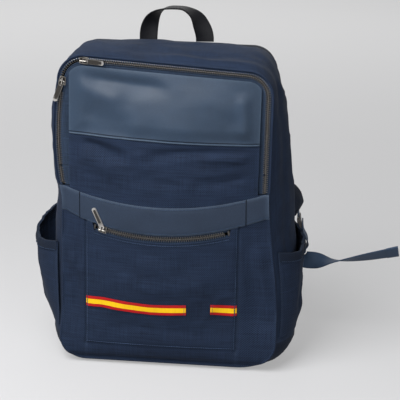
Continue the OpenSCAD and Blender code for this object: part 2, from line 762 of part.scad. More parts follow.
// Side pockets: slack sheets sewn to the sides along the base and both seams, open at the slanted top
pocket_low = run_low;
pocket_t = 1.5;
pocket_rows = 8;
pocket_vs = [0.05, 0.12, 0.2, 0.35, 0.5, 0.65, 0.8, 0.88, 0.95];
pocket_slack = 0.25;
function mouth_z(v) = mouth_front_z + (mouth_back_z - mouth_front_z) * v - mouth_sag * swell_share(v);
function pocket_out(s, v, w, z) =
  edge_gap + swell(s, 0, v, z) + layer_gap
  + (s < 0 ? left_gape : right_gape) * swell_share(v) * min(1, 4 * w)
    * (pocket_slack + (1 - pocket_slack) * w);
function pocket_point(s, v, w, out) =
  let (z = pocket_low + (mouth_z(v) - pocket_low) * w)
  settle([s * (hx + pocket_out(s, v, w, z) + out), yf + v * body_d, z]);
function pocket_grid(s, out, from, to, rows) =
  [for (j = [0 : rows]) let (w = from + (to - from) * (s < 0 ? j : rows - j) / rows)
    [for (v = pocket_vs) pocket_point(s, v, w, out)]];
hem_share = 0.1;
hem_t = 1;
module side_pocket(s) {
  color(navy) sheet(pocket_grid(s, pocket_t, 0, 1, pocket_rows), pocket_grid(s, 0, 0, 1, pocket_rows));
}

module side_pocket_hem(s) {
  color(navy_dark)
  sheet(pocket_grid(s, pocket_t + layer_gap + hem_t, 1 - hem_share, 1, 1),
        pocket_grid(s, pocket_t + layer_gap, 1 - hem_share, 1, 1));
}

// Haul handle: webbing that turns edge on at the top of its arch
handle_y = yb + back_t / 2;
handle_z = zt + edge_gap + joint_gap + webbing_t / 2;
handle_steps = 20;
handle_square_x = 0.55;
handle_square_z = 0.65;
handle_turn = 1.2;
module haul_handle() {
  leg = handle_w / 2;
  path = [for (i = [0 : handle_steps])
    let (a = 180 - 180 * i / handle_steps, c = cos(a))
    [leg * sign(c) * pow(abs(c), handle_square_x), handle_y,
     handle_z + handle_h * pow(sin(a), handle_square_z)]];
  sides = [for (i = [0 : handle_steps])
    let (a = 180 * i / handle_steps) [abs(cos(a)), handle_turn * sin(a), 0]];
  color(webbing_black) strip(path, sides, webbing_w, webbing_t, webbing_t);
}

// Shoulder straps: sewn to the top of the back, bowed off it, with a buckle on webbing at the lower end.
// The right one has swung out to the side, where it lies edge on.
strap_y = yb + back_t + strap_t / 2 + layer_gap;
strap_top_z = zt - 26;
strap_bow = 46;
right_swing = 133;
right_fall = 217;
left_swing = -48;
left_fall = 224;
strap_steps = 4;
strap_edge_t = 4;
function strap_route(top_x, swing, fall, shares) =
  [for (k = shares) [top_x + swing * k[0], strap_y + strap_bow * k[1], strap_top_z - fall * k[2]]];
right_route = strap_route(strap_top_x, right_swing, right_fall,
  [[0, 0, 0], [0.06, 0.55, 0.2], [0.17, 1, 0.5], [0.6, 0.85, 0.77], [0.92, 0.75, 0.9], [1, 0.72, 1]]);
left_route = strap_route(-strap_top_x, left_swing, left_fall,
  [[0, 0, 0], [0.17, 0.55, 0.2], [0.42, 1, 0.49], [0.71, 0.9, 0.78], [1, 0.45, 1]]);
right_sides = [[1, 0, 0], [1, 0, 0], [0.95, 0.3, 0], [0.6, 0.8, 0], [0.25, 1, 0], [0.15, 1, 0]];
left_sides = [for (p = left_route) [1, 0, 0]];
module shoulder_strap(points, sides) {
  color(navy_dark)
  strip(route(points, strap_steps), route(sides, strap_steps), strap_w, strap_t, strap_edge_t);
}

// Ladder buckle in its own plane, with its two slots
buckle_w = webbing_w + 9;
buckle_l = 27;
slot_l = 4.5;
slot_z = 7;
buckle_r = 4;
module ladder_buckle() {
  x = buckle_w / 2 - buckle_r;
  z = buckle_l / 2 - buckle_r;
  color(gunmetal)
  rotate([90, 0, 0]) linear_extrude(buckle_t, center = true)
    difference() {
      union() {
        square([buckle_w, 2 * z], center = true);
        square([2 * x, buckle_l], center = true);
        for (sx = [-1, 1]) for (sz = [-1, 1]) translate([sx * x, sz * z]) circle(buckle_r);
      }
      for (s = [-1, 1]) translate([0, s * slot_z]) square([webbing_w + 2, slot_l], center = true);
      square([webbing_w + 2, slot_l], center = true);
    }
}

// Along and across a leaning buckle; the right one is turned edge on with its strap
function lean_down(lean) = [-sin(lean), 0, -cos(lean)];
function lean_wide(lean) = [cos(lean), 0, -sin(lean)];
function last(list) = list[len(list) - 1];
right_lean = -8;
left_lean = 14;
right_turn = 90;
buckle_hang = 24;
left_end = last(left_route);
right_end = last(right_route);
left_buckle = left_end + [-8, -6, -40];
right_buckle = right_end + lean_down(right_lean) * buckle_hang;
module strap_buckle(place, lean, turn) {
  translate(place) rotate([0, lean, 0]) rotate([0, 0, turn]) ladder_buckle();
}

// Webbing: each piece has a few points on its route and the way its width lies at each of them
webbing_steps = 4;
slot_gap = buckle_l / 2 + 1.5;
webbing_gap = 3;
module webbing(points, sides) {
  color(webbing_black)
  strip(route(points, webbing_steps), route(sides, webbing_steps), webbing_w, webbing_t, webbing_t);
}

loop_start = 1.5;
module buckle_loop(top_end, place, lean, wide) {
  down = lean_down(lean);
  top = top_end + down * loop_start;
  end = place - down * slot_gap;
  webbing([top, (top + end) / 2, end], [wide, wide, wide]);
}
right_wide = [0, 1, 0];
left_wide = lean_wide(left_lean);

anchor_l = 40;
anchor_t = 2.4;
anchor_x = hx - 6;
anchor_z = zb + 16;
module strap_anchor(s) {
  color(navy_dark)
  translate([0, yb + back_t + anchor_t, 0]) rotate([90, 0, 0]) linear_extrude(anchor_t)
    polygon([[s * anchor_x, anchor_z], [s * (anchor_x - anchor_l), anchor_z],
             [s * anchor_x, anchor_z + anchor_l]]);
}

webbing_root_y = yb + back_t + anchor_t + webbing_t;
// Points between two ends, as shares of the way in each direction
function between(a, b, shares) =
  concat([a], [for (k = shares) [for (i = [0 : 2]) a[i] + (b[i] - a[i]) * k[i]]], [b]);
function lower_root(s) = [s * (anchor_x - anchor_l / 5), webbing_root_y, anchor_z + anchor_l * 0.35];
right_lower = between(lower_root(1), right_buckle + lean_down(right_lean) * (slot_gap + webbing_gap),
  [[0.31, 0.14, 0.31], [0.61, 0.39, 0.59], [0.84, 0.79, 0.84]]);
right_lower_sides = [[0.8, 0, -0.6], [0.8, 0.3, -0.5], [0.5, 0.8, -0.3], [0.2, 1, 0], right_wide];
left_lower = between(lower_root(-1), left_buckle + lean_down(left_lean) * slot_gap, [[0.49, 0.23, 0.4]]);
left_lower_sides = [[0.8, 0, 0.6], [0.9, 0, 0.3], left_wide];

// The right tail bulges from the buckle, turns back under itself and runs out to the right, twisting once.
// Both tails are given in webbing widths from their buckles.
right_tail = [for (p = [[0.16, 0, 0.24], [0.22, 0, -0.32], [0.44, -0.04, -0.76], [0.48, -0.16, -1.12],
                        [0.28, -0.36, -1.44], [0.12, -0.56, -1.68], [0.32, -0.8, -1.86], [0.88, -0.96, -1.86],
                        [2.24, -1.04, -1.8], [3.84, -1, -1.5], [5.8, -0.88, -1.06]])
              right_buckle + p * webbing_w];
right_tail_sides = [[0, 1, 0], [0, 1, 0], [0, 1, 0], [0, 1, 0.1], [0.1, 0.95, 0.2], [0.1, 0.8, 0.5],
                    [0, 0.6, 0.8], [0, 0.5, 0.87], [0, 0.96, -0.25], [0, 0.75, -0.65], [0, 0.6, -0.8]];
left_tail = [for (p = [[-0.08, 0.32, -0.32], [0, 0.48, -1.6], [0.16, 0.48, -3.2], [0.24, 0.4, -4.4]])
             left_buckle + p * webbing_w];
left_tail_sides = [left_wide, [0.95, 0.2, 0], [0.9, 0.4, 0], [0.95, 0.2, 0]];

back_panel();
back_pad();
side_panel(-1);  // side_panel_left
side_panel(1);  // side_panel_right
top_panel();
base_panel();
base_patch();
main_lining();
laptop_sleeve();
front_yoke();
front_band();
lower_front(-1);  // lower_front_left
lower_front(1);  // lower_front_right
front_pocket_panel();
front_pocket_pouch();
ribbon();
main_zip_tape_body();
main_zip_teeth_body();
main_zip_ends();
main_zip_end_tapes();
pocket_zip_tape(1);  // pocket_zip_tape_upper
pocket_zip_tape(-1);  // pocket_zip_tape_lower
pocket_teeth(1);  // pocket_zip_teeth_upper
pocket_teeth(-1);  // pocket_zip_teeth_lower
pocket_zip_stops();
side_pocket(-1);  // side_pocket_left
side_pocket(1);  // side_pocket_right
side_pocket_hem(-1);  // side_pocket_hem_left
side_pocket_hem(1);  // side_pocket_hem_right
shoulder_strap(left_route, left_sides);  // shoulder_strap_left
shoulder_strap(right_route, right_sides);  // shoulder_strap_right
buckle_loop(left_end, left_buckle, left_lean, left_wide);  // buckle_loop_left
buckle_loop(right_end, right_buckle, right_lean, right_wide);  // buckle_loop_right
strap_buckle(left_buckle, left_lean, 0);  // strap_buckle_left
strap_buckle(right_buckle, right_lean, right_turn);  // strap_buckle_right
webbing(left_lower, left_lower_sides);  // lower_webbing_left
webbing(right_lower, right_lower_sides);  // lower_webbing_right
webbing(left_tail, left_tail_sides);  // webbing_tail_left
webbing(right_tail, right_tail_sides);  // webbing_tail_right
strap_anchor(-1);  // strap_anchor_left
strap_anchor(1);  // strap_anchor_right
flap_leather_panel();
flap_fabric_panel();
flap_seam_welt();
flap_lining();
main_zip_tape_flap();
main_zip_teeth_flap();
main_slider_a();
main_pull_a();
main_slider_b();
main_pull_b();
pocket_slider();
pocket_pull_ring();
pocket_pull_tab();
haul_handle();
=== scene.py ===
import math
import bpy
import numpy as np
from mathutils import Euler, Matrix, Vector, noise


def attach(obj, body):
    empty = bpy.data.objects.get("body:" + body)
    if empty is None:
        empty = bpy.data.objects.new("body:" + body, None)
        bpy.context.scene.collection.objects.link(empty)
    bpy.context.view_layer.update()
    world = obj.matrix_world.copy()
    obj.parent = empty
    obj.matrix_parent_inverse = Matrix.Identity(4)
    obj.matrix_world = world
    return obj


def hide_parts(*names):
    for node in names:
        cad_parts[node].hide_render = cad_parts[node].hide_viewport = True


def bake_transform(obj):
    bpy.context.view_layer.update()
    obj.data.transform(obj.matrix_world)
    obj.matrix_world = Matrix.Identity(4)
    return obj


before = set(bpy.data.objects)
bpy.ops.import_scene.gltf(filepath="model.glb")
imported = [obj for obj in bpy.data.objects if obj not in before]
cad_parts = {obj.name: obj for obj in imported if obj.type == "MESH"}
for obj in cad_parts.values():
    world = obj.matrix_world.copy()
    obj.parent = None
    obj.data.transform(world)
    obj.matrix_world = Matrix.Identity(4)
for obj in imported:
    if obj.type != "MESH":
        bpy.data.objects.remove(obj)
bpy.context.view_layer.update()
scene = bpy.context.scene
MM = 0.001


def V(*p):
    return np.array(p, float)


def points(*axes):
    """Coordinates as points; a single number holds for all of them."""
    return np.stack(np.broadcast_arrays(*axes), -1)


def unit(v):
    return v / np.maximum(np.linalg.norm(v, axis=-1, keepdims=True), 1e-9)


def S(t):
    """A smooth step from 0 to 1."""
    t = np.clip(t, 0, 1)
    return t * t * (3 - 2 * t)


# Camera at the photograph's viewing angle
IMAGE, SENSOR = 400, 36


def camera(azimuth, elevation, roll, target, focus, distance):
    """Angles in degrees, the focal length in pixels of the image, lengths in metres."""
    a, e, r = (math.radians(d) for d in (azimuth, elevation, roll))
    turned = Euler((math.pi / 2 - e, 0, a)).to_matrix().to_4x4() @ Matrix.Rotation(r, 4, "Z")
    data = bpy.data.cameras.new("camera")
    data.sensor_width = SENSOR
    data.lens = SENSOR * focus / IMAGE
    cam = bpy.data.objects.new("camera", data)
    cam.matrix_world = Matrix.Translation(target) @ turned @ Matrix.Translation((0, 0, distance))
    scene.collection.objects.link(cam)
    scene.camera = cam


camera(azimuth=5.0, elevation=17.0, roll=1.4, target=(0.044, 0, 0.222), focus=1368, distance=1.9)
scene.view_settings.view_transform = "Standard"


# Materials
def lin(*rgb):
    """A screen colour, 0 to 255, as linear light."""
    return tuple(c / 255 / 12.92 if c <= 10 else ((c / 255 + 0.055) / 1.055) ** 2.4 for c in rgb) + (1,)


class Graph:
    """A material's node graph, with short calls for the nodes used here."""

    def __init__(self, name):
        self.m = bpy.data.materials.new(name)
        self.m.use_nodes = True
        self.t = self.m.node_tree
        self.b = self.t.nodes["Principled BSDF"]

    def node(self, kind, links=None, **props):
        n = self.t.nodes.new("ShaderNode" + kind)
        for k, v in props.items():
            setattr(n, k, v)
        for k, v in (links or {}).items():
            self.put(n.inputs[k], v)
        return n

    def put(self, socket, v):
        if isinstance(v, bpy.types.NodeSocket):
            self.t.links.new(v, socket)
        elif v is not None:
            socket.default_value = v

    def math(self, op, a, b=None, clamp=False):
        return self.node("Math", {0: a, 1: b}, operation=op, use_clamp=clamp).outputs[0]

    def coords(self, kind, plane="XY"):
        """A texture coordinate and its two axes in the plane."""
        c = self.node("TexCoord").outputs[kind]
        axes = self.node("SeparateXYZ", {0: c}).outputs
        return c, axes[plane[0]], axes[plane[1]]

    def stretch(self, u, v, su, sv):
        """Noise with a scale for each axis, as threads and brushed metal have."""
        c = self.node("CombineXYZ", {0: self.math("MULTIPLY", u, su), 1: self.math("MULTIPLY", v, sv)})
        return self.node("TexNoise", {"Vector": c.outputs[0], "Scale": 1.0, "Detail": 2.0}).outputs["Fac"]

    def noise(self, vec, scale, detail=3.0):
        n = self.node("TexNoise", {"Vector": vec, "Scale": scale, "Detail": detail, "Roughness": 0.55})
        return n.outputs["Fac"]

    def wave(self, c, pitch):
        return self.math("SINE", self.math("MULTIPLY", c, 2 * math.pi / pitch))

    def vary(self, start, *parts):
        """The start value, and each part's distance from one half times its share."""
        out = start
        for v, k in parts:
            out = self.math("ADD", self.math("MULTIPLY", self.math("SUBTRACT", v, 0.5), k), out)
        return out

    def tint(self, rgb, value):
        return self.node("VectorMath", {0: lin(*rgb)[:3], "Scale": value}, operation="SCALE").outputs[0]

    def mix(self, f, a, b):
        return self.node("Mix", {0: f, 6: a, 7: b}, data_type="RGBA").outputs[2]

    def edge(self, vec, worn, colour, amount):
        """The colour, worn along the hems that the mesh's edge attribute marks."""
        a = self.node("Attribute", attribute_name="edge").outputs["Fac"]
        k = self.math("MULTIPLY", a, self.math("MULTIPLY", self.noise(vec, 160.0), 1.5 * amount), True)
        return self.mix(k, colour, lin(*worn))

    def rubbed(self, above, gain):
        """How bare a sharp edge is rubbed."""
        point = self.node("NewGeometry").outputs["Pointiness"]
        return self.math("MULTIPLY", self.math("SUBTRACT", point, above), gain, True)

    def bump(self, height, strength, distance, normal=None):
        links = {"Height": height, "Strength": strength, "Distance": distance, "Normal": normal}
        return self.node("Bump", links).outputs[0]

    def done(self, colour, rough, normal, **sockets):
        for k, v in dict(sockets, Base_Color=colour, Roughness=rough, Normal=normal).items():
            self.put(self.b.inputs[k.replace("_", " ")], v)
        return self.m


def cloth(name, rgb, worn, pitch=0.0026, coord=("UV", "XY"), slub=0.65, rough=0.82, ribs=0.0):
    """Woven cloth: a fine twill, slubs along both threads and slow changes of shade."""
    g = Graph(name)
    c, u, v = g.coords(*coord)
    twill = g.wave(g.math("ADD", u, v), pitch)
    weft, warp, slubs = g.stretch(u, v, 28, 1500), g.stretch(u, v, 1500, 28), g.stretch(u, v, 26, 380)
    blotch = g.noise(c, 16.0)
    value = g.vary(1.0, (weft, slub * 1.4), (warp, slub * 1.3), (slubs, slub * 0.9), (blotch, 0.4), (twill, 0.45))
    colour = g.edge(c, worn, g.tint(rgb, value), 0.15)
    height = g.vary(0.0, (weft, 0.8), (warp, 0.8), (slubs, 0.9), (twill, 0.4))
    if ribs:
        height = g.math("ADD", height, g.math("MULTIPLY", g.wave(v, ribs), 0.9))
    normal = g.bump(g.noise(c, 70.0), 0.1, 0.004, g.bump(height, 0.1, 0.0004))
    return g.done(colour, g.vary(rough, (weft, 0.16), (blotch, 0.12)), normal, Sheen_Weight=0.02,
        Sheen_Roughness=0.45, Specular_IOR_Level=0.12)


def leather(name, rgb, worn, rough, wear, gloss):
    """Leathercloth: a fine cell grain with pores, clouded in shade."""
    g = Graph(name)
    c = g.coords("UV")[0]
    cell = g.node("TexVoronoi", {"Vector": c, "Scale": 760.0}, feature="DISTANCE_TO_EDGE").outputs["Distance"]
    pores, blotch, cloud = g.noise(c, 1500.0, 2.0), g.noise(c, 11.0, 4.0), g.noise(c, 34.0)
    value = g.vary(1.0, (blotch, 0.3), (cloud, 0.24), (pores, 0.3), (cell, 0.5))
    colour = g.edge(c, worn, g.tint(rgb, value), wear)
    normal = g.bump(g.math("ADD", cell, g.math("MULTIPLY", pores, 0.25)), 0.1, 0.0006)
    normal = g.bump(g.noise(c, 42.0), 0.06, 0.004, normal)
    rough = g.vary(rough, (blotch, 0.16), (cell, -0.25), (pores, 0.1))
    return g.done(colour, rough, normal, Specular_IOR_Level=gloss)


def metal(name, rgb, worn, rough=0.34):
    """Brushed and tumbled metal, bare along its edges."""
    g = Graph(name)
    c, u, v = g.coords("Object", "XZ")
    grain, cloud = g.stretch(u, v, 400, 5000), g.noise(c, 900.0)
    colour = g.tint(rgb, g.vary(1.0, (cloud, 0.5), (grain, 0.25)))
    colour = g.mix(g.rubbed(0.52, 9.0), colour, lin(*worn))
    rough = g.vary(rough, (cloud, 0.25), (grain, 0.12))
    return g.done(colour, rough, g.bump(cloud, 0.12, 0.0003), Metallic=1.0)


def ribbon_cloth(name, rgb):
    g = Graph(name)
    c, u, v = g.coords("UV")
    rib, slub = g.wave(u, 0.0011), g.stretch(u, v, 900, 60)
    colour = g.tint(rgb, g.vary(1.0, (slub, 0.22), (g.noise(c, 60.0), 0.14), (rib, 0.05)))
    normal = g.bump(g.math("ADD", rib, slub), 0.15, 0.0003)
    return g.done(colour, g.vary(0.55, (slub, 0.2)), normal, Specular_IOR_Level=0.2)


def webbing_cloth(name, rgb, worn, half=0.0108):
    """Webbing with a cross rib, and a plain selvage further out than half."""
    g = Graph(name)
    c, u, v = g.coords("UV")
    cross, slub = g.wave(v, 0.0017), g.stretch(u, v, 120, 1200)
    selvage = g.math("GREATER_THAN", g.math("ABSOLUTE", u), half)
    height = g.math("ADD", g.math("MULTIPLY", cross, g.wave(u, 0.0031)), g.math("MULTIPLY", cross, 0.6))
    value = g.vary(1.0, (slub, 0.3), (height, 0.1), (selvage, -0.16), (g.noise(c, 30.0), 0.22))
    colour = g.edge(c, worn, g.tint(rgb, value), 0.5)
    return g.done(colour, g.vary(0.58, (slub, 0.2)), g.bump(height, 0.2, 0.0004), Sheen_Weight=0.02,
        Specular_IOR_Level=0.2)


def spacer_mesh(name, rgb, hole):
    """Knitted spacer mesh: rows of round holes, each row set half a hole aside, with painted shade in the holes."""
    g = Graph(name)
    c, u, v = g.coords("Object", "XZ")
    high = g.math("MULTIPLY", v, 500.0)
    shift = g.math("MULTIPLY", g.math("MODULO", g.math("FLOOR", high), 2.0), 0.5)
    q = g.node("CombineXYZ", {0: g.math("ADD", g.math("MULTIPLY", u, 400.0), shift), 1: high}).outputs[0]
    cell = g.node("TexVoronoi", {"Vector": q, "Scale": 1.0, "Randomness": 0.25}).outputs["Distance"]
    painted_hole_shade = g.math("SUBTRACT", 1.0, g.math("MULTIPLY", cell, 2.4), True)
    yarn = g.tint(rgb, g.vary(1.0, (g.noise(c, 40.0), 0.3), (g.noise(c, 900.0), 0.3)))
    return g.done(g.mix(painted_hole_shade, yarn, lin(*hole)), g.vary(0.75, (cell, 0.2)), g.bump(cell, 0.5, 0.0012),
        Specular_IOR_Level=0.12)


def moulded(name, rgb, worn):
    g = Graph(name)
    c = g.coords("Object")[0]
    grain, cloud = g.noise(c, 2600.0, 2.0), g.noise(c, 90.0)
    colour = g.tint(rgb, g.vary(1.0, (cloud, 0.3), (grain, 0.2)))
    colour = g.mix(g.rubbed(0.53, 8.0), colour, lin(*worn))
    return g.done(colour, g.vary(0.42, (cloud, 0.2), (grain, 0.15)), g.bump(grain, 0.15, 0.0003))


navy = cloth("shell_cloth", (32, 44, 65), (70, 84, 106))
navy_base = cloth("base_cloth", (26, 35, 51), (56, 68, 88), pitch=0.003)
tape = cloth("zip_tape_cloth", (42, 55, 74), (72, 86, 104), pitch=0.0009, ribs=0.0016)
inside = cloth("lining_cloth", (58, 60, 66), (90, 92, 98), pitch=0.0008, slub=0.3, rough=0.65)
thread = cloth("thread", (58, 75, 101), (86, 100, 124), pitch=0.0006, coord=("Object", "XZ"))
thread_dark = cloth("thread_dark", (17, 23, 35), (40, 50, 66), pitch=0.0006, coord=("Object", "XZ"))
panel_pu = leather("panel_leathercloth", (41, 58, 78), (92, 112, 131), 0.44, 0.2, 0.34)
band_pu = leather("band_leathercloth", (42, 54, 72), (84, 100, 118), 0.5, 0.4, 0.22)
gunmetal = metal("gunmetal", (72, 69, 66), (205, 202, 198))
dark_metal = metal("dark_metal", (58, 57, 57), (90, 88, 86), rough=0.55)
slider_metal = metal("slider_metal", (56, 53, 50), (190, 185, 178), rough=0.38)
teeth_metal = metal("zip_teeth_metal", (106, 103, 100), (226, 225, 223), rough=0.3)
red = ribbon_cloth("ribbon_red", (172, 22, 24))
yellow = ribbon_cloth("ribbon_yellow", (246, 196, 22))
# The webbing's own steel blue, raised as painted light to make up for the bag's shadow over the right tail
webbing = webbing_cloth("webbing_cloth", (54, 71, 94), (92, 106, 126))
webbing_dark = webbing_cloth("handle_cloth", (8, 9, 14), (36, 42, 56))
# The padded mesh's second colour is painted shade in its holes
mesh = spacer_mesh("padded_mesh", (28, 35, 49), (10, 13, 20))
plastic = moulded("buckle_plastic", (40, 38, 40), (96, 92, 90))

# Mesh building. From here to the stage, lengths are in millimetres.
CENTRE = V(0, 0, 218)
SHARP = math.radians(50)
HEM = 1.6  # how far wear reaches in from an edge
X, Y, Z = V(1, 0, 0), V(0, 1, 0), V(0, 0, 1)
FORWARD = -Y
SIDES = ((-1, "left"), (1, "right"))


def build(name, verts, faces, mats, nodes=(), body="bag", uvs=None, fmat=None, edge=None):
    """A piece in millimetres that stands for the nodes."""
    mats = mats if isinstance(mats, list) else [mats]
    me = bpy.data.meshes.new(name)
    me.from_pydata((verts * MM).tolist(), [], faces)
    for m in mats:
        me.materials.append(m)
    if fmat is not None:
        me.polygons.foreach_set("material_index", fmat)
    if uvs is not None:
        loops = np.empty(len(me.loops), np.int32)
        me.loops.foreach_get("vertex_index", loops)
        uv = (uvs[loops] * MM).astype(np.float32)
        me.uv_layers.new(name="UVMap").data.foreach_set("uv", uv.ravel())
    if edge is not None:
        me.attributes.new("edge", "FLOAT", "POINT").data.foreach_set("value", np.asarray(edge, np.float32))
    me.shade_smooth()
    me.set_sharp_from_angle(angle=SHARP)
    ob = bpy.data.objects.new(name, me)
    scene.collection.objects.link(ob)
    if body:
        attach(ob, body)
    if nodes:
        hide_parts(*([nodes] if isinstance(nodes, str) else nodes))
    return ob


def outward(P, centre=CENTRE):
    """A grid's unit normals, away from the centre, and whether that turned them round."""
    N = unit(np.cross(np.gradient(P, axis=0), np.gradient(P, axis=1)))
    flip = ((P - centre) * N).sum() < 0
    return (-N if flip else N), flip


def arc_uv(P):
    """Lengths along the rows and the columns of a grid."""
    u, v = np.zeros((2,) + P.shape[:2])
    u[1:] = np.cumsum(np.linalg.norm(np.diff(P, axis=0), axis=2), 0)
    v[:, 1:] = np.cumsum(np.linalg.norm(np.diff(P, axis=1), axis=2), 1)
    return u, v


def slab_faces(m, n, flip):
    """Faces of a slab: an outer grid of m by n points, an inner one listed after it, and the rim."""
    ids = np.arange(m * n).reshape(m, n)
    outer = points(ids[:-1, :-1], ids[1:, :-1], ids[1:, 1:], ids[:-1, 1:]).reshape(-1, 4)
    outer = outer[:, [0, 3, 2, 1]] if flip else outer
    k = m * n
    loop = np.r_[ids[:, 0], ids[-1, 1:], ids[-2::-1, -1], ids[0, -2:0:-1]].tolist()
    rim = [(a, b, b + k, a + k) if flip else (b, a, a + k, b + k) for a, b in zip(loop, loop[1:] + loop[:1])]
    return outer.tolist() + (outer[:, ::-1] + k).tolist() + rim


def sheet(name, P, t, mat, nodes=(), body="bag", centre=CENTRE, rows=None, uv=None):
    """Cloth with its outer face on the grid P and thickness t inwards. rows numbers the material of each row."""
    m, n = P.shape[:2]
    N, flip = outward(P, centre)
    u, v = arc_uv(P)
    inset = np.minimum(np.minimum(u, u[-1:] - u), np.minimum(v, v[:, -1:] - v))
    verts = np.concatenate([P.reshape(-1, 3), (P - N * t).reshape(-1, 3)])
    uv = points(u, v) if uv is None else uv
    fmat = None if rows is None else rows * (2 * (m - 1)) + [rows[0]] * (2 * (m + n) - 4)
    return build(name, verts, slab_faces(m, n, flip), mat, nodes, body, np.tile(uv.reshape(-1, 2), (2, 1)),
        fmat, np.tile(np.exp(-inset / HEM).ravel(), 2))


def tangents(path):
    return unit(np.gradient(path, axis=0))


def runs(path):
    """Lengths along a path from its first point."""
    return np.r_[0, np.cumsum(np.linalg.norm(np.diff(path, axis=0), axis=1))]


def ring_faces(m, k, closed=False):
    """Faces between m rings of k points, with both ends capped or, if closed, joined to each other."""
    faces = [(i * k + j, i * k + (j + 1) % k, (i + 1) % m * k + (j + 1) % k, (i + 1) % m * k + j)
        for i in range(m if closed else m - 1) for j in range(k)]
    return faces if closed else faces + [tuple(range(k))[::-1], tuple(range((m - 1) * k, m * k))]


def across(path, side, closed=False):
    """The unit directions across a path, nearest to the side given, and those normal to both."""
    t = unit(np.roll(path, -1, 0) - np.roll(path, 1, 0)) if closed else tangents(path)
    a = unit(side - t * (side * t).sum(1, keepdims=True))
    return a, np.cross(t, a)


def loft(path, side, section, closed=False):
    """A section, given across and normal, set along a path. Gives points, faces and uvs."""
    a, n = across(path, side, closed)
    P = path[:, None] + a[:, None] * section[:, :1] + n[:, None] * section[:, 1:]
    uvs = points(section[None, :, 0], runs(path)[:, None])
    return P.reshape(-1, 3), ring_faces(*P.shape[:2], closed), uvs.reshape(-1, 2)


def add(name, parts, mat, nodes=(), body="bag", edge=None):
    """One piece of several parts, each of them points, faces and uvs."""
    verts, faces, uvs = zip(*parts)
    starts = np.cumsum([0] + [len(v) for v in verts]).tolist()
    faces = [tuple(i + start for i in face) for start, part in zip(starts, faces) for face in part]
    return build(name, np.concatenate(verts), faces, mat, nodes, body, np.concatenate(uvs), edge=edge)


def circle(r, k=8, flat=1.0):
    a = np.arange(k) / k * 2 * np.pi
    return points(r * np.cos(a), r * flat * np.sin(a))


def flat_section(w, t):
    """Cross-section of webbing: flat faces with rounded edges."""
    r = t / 2
    face = points(np.linspace(r - w / 2, w / 2 - r, 9), r)
    a = np.linspace(0, math.pi, 5)[1:-1]
    end = points(w / 2 - r + r * np.sin(a), r * np.cos(a))
    return np.concatenate([face, end, -face, -end])[::-1]


# One stitch: shares of its length along the seam, and of the thread's radius above it
STITCH = V((-0.5, -0.6), (-0.25, 0.3), (0, 0.45), (0.25, 0.3), (0.5, -0.6))


def sew(name, paths, mat, pitch=3.4, length=2.5, r=0.42, out=FORWARD, body="bag"):
    """Thread along paths, proud of the surface whose outward direction is given."""
    parts = []
    for path in paths:
        d = runs(path)
        s = np.linspace(0, d[-1], max(2, int(round(d[-1] / pitch)) + 1))
        p = points(*[np.interp(s, d, axis) for axis in path.T])
        parts += [loft(c + t * STITCH[:, :1] * length + out * STITCH[:, 1:] * r, np.cross(t, out), circle(r, 5))
            for c, t in zip(p, tangents(p))]
    add(name, parts, mat, (), body)


def fractal(P, scale, seed, octaves=3):
    Q = P.reshape(-1, 3) / scale + seed * 7.13
    return np.array([noise.fractal(Vector(q), 1.0, 2.0, octaves) for q in Q]).reshape(P.shape[:-1])


def wrinkles(P, scale, seed):
    """Thin raised creases between flatter fields, as worn cloth has."""
    return 1 - np.minimum(1, 3.2 * np.abs(fractal(P, scale, seed, 2)))


def folds(a, b, table):
    """Soft folds in the plane of a and b. Each row has a fold's two ends, its width and its height."""
    total = 0
    for a0, b0, a1, b1, width, height in table:
        n = math.hypot(a1 - a0, b1 - b0)
        da, db = (a1 - a0) / n, (b1 - b0) / n
        t = ((a - a0) * da + (b - b0) * db) / n
        away = (b - b0) * da - (a - a0) * db
        total = total + height * np.exp(-(away / width) ** 2) * S(t / 0.3 + 0.2) * S((1 - t) / 0.3 + 0.2)
    return total


# The CAD model's own surfaces: the body's half width, front, back, top, base and depth,
HX, YF, YB, ZT, ZB, DEPTH = 136.0, -64.0, 64.0, 425.0, 11.0, 128.0
# its corners, how far the sides stand out of the rim, and where the rim's straight runs end,
TOP_R, BASE_R, EDGE = 28.0, 32.0, 5.6
RUN_TOP, RUN_LOW, TOP_X = ZT - TOP_R, ZB + BASE_R, HX - TOP_R
# the plane of the main zip, the band's top at the sides and the flap's seam,
ZIP_Y, BAND_Z, SEAM_Z = -63.6, 254.0, 328.0
# half widths of the flap, the front pocket and its zip, and the foot of the side pockets
FLAP_HX, POCKET_HX, POCKET_ZIP_HX, POCKET_LOW = 127.0, 103.0, 90.0, 50.0
SHELL_T, FLAP_T, TAPE_T, LINING_T = 2.0, 1.6, 0.8, 0.8


def share(v):
    return 1 - np.abs(2 * v - 1) ** 2.6


def swell(nx, nz, v, z):
    left = 18 - 6 * S((z - 195) / 40) - 17 * S((z - 342) / 50)
    right = 18 + 11 * np.clip((351 - z) / 114, 0, 1) - 15 * np.clip((z - 351) / 58, 0, 1)
    up = np.where(nz > 0, 7.4 * nz ** 2 * share(v), 3.9 * nz ** 2 * np.minimum(1, 1.6 * share(v)))
    return np.where(nx < 0, left, right) * nx ** 2 * share(v) + up


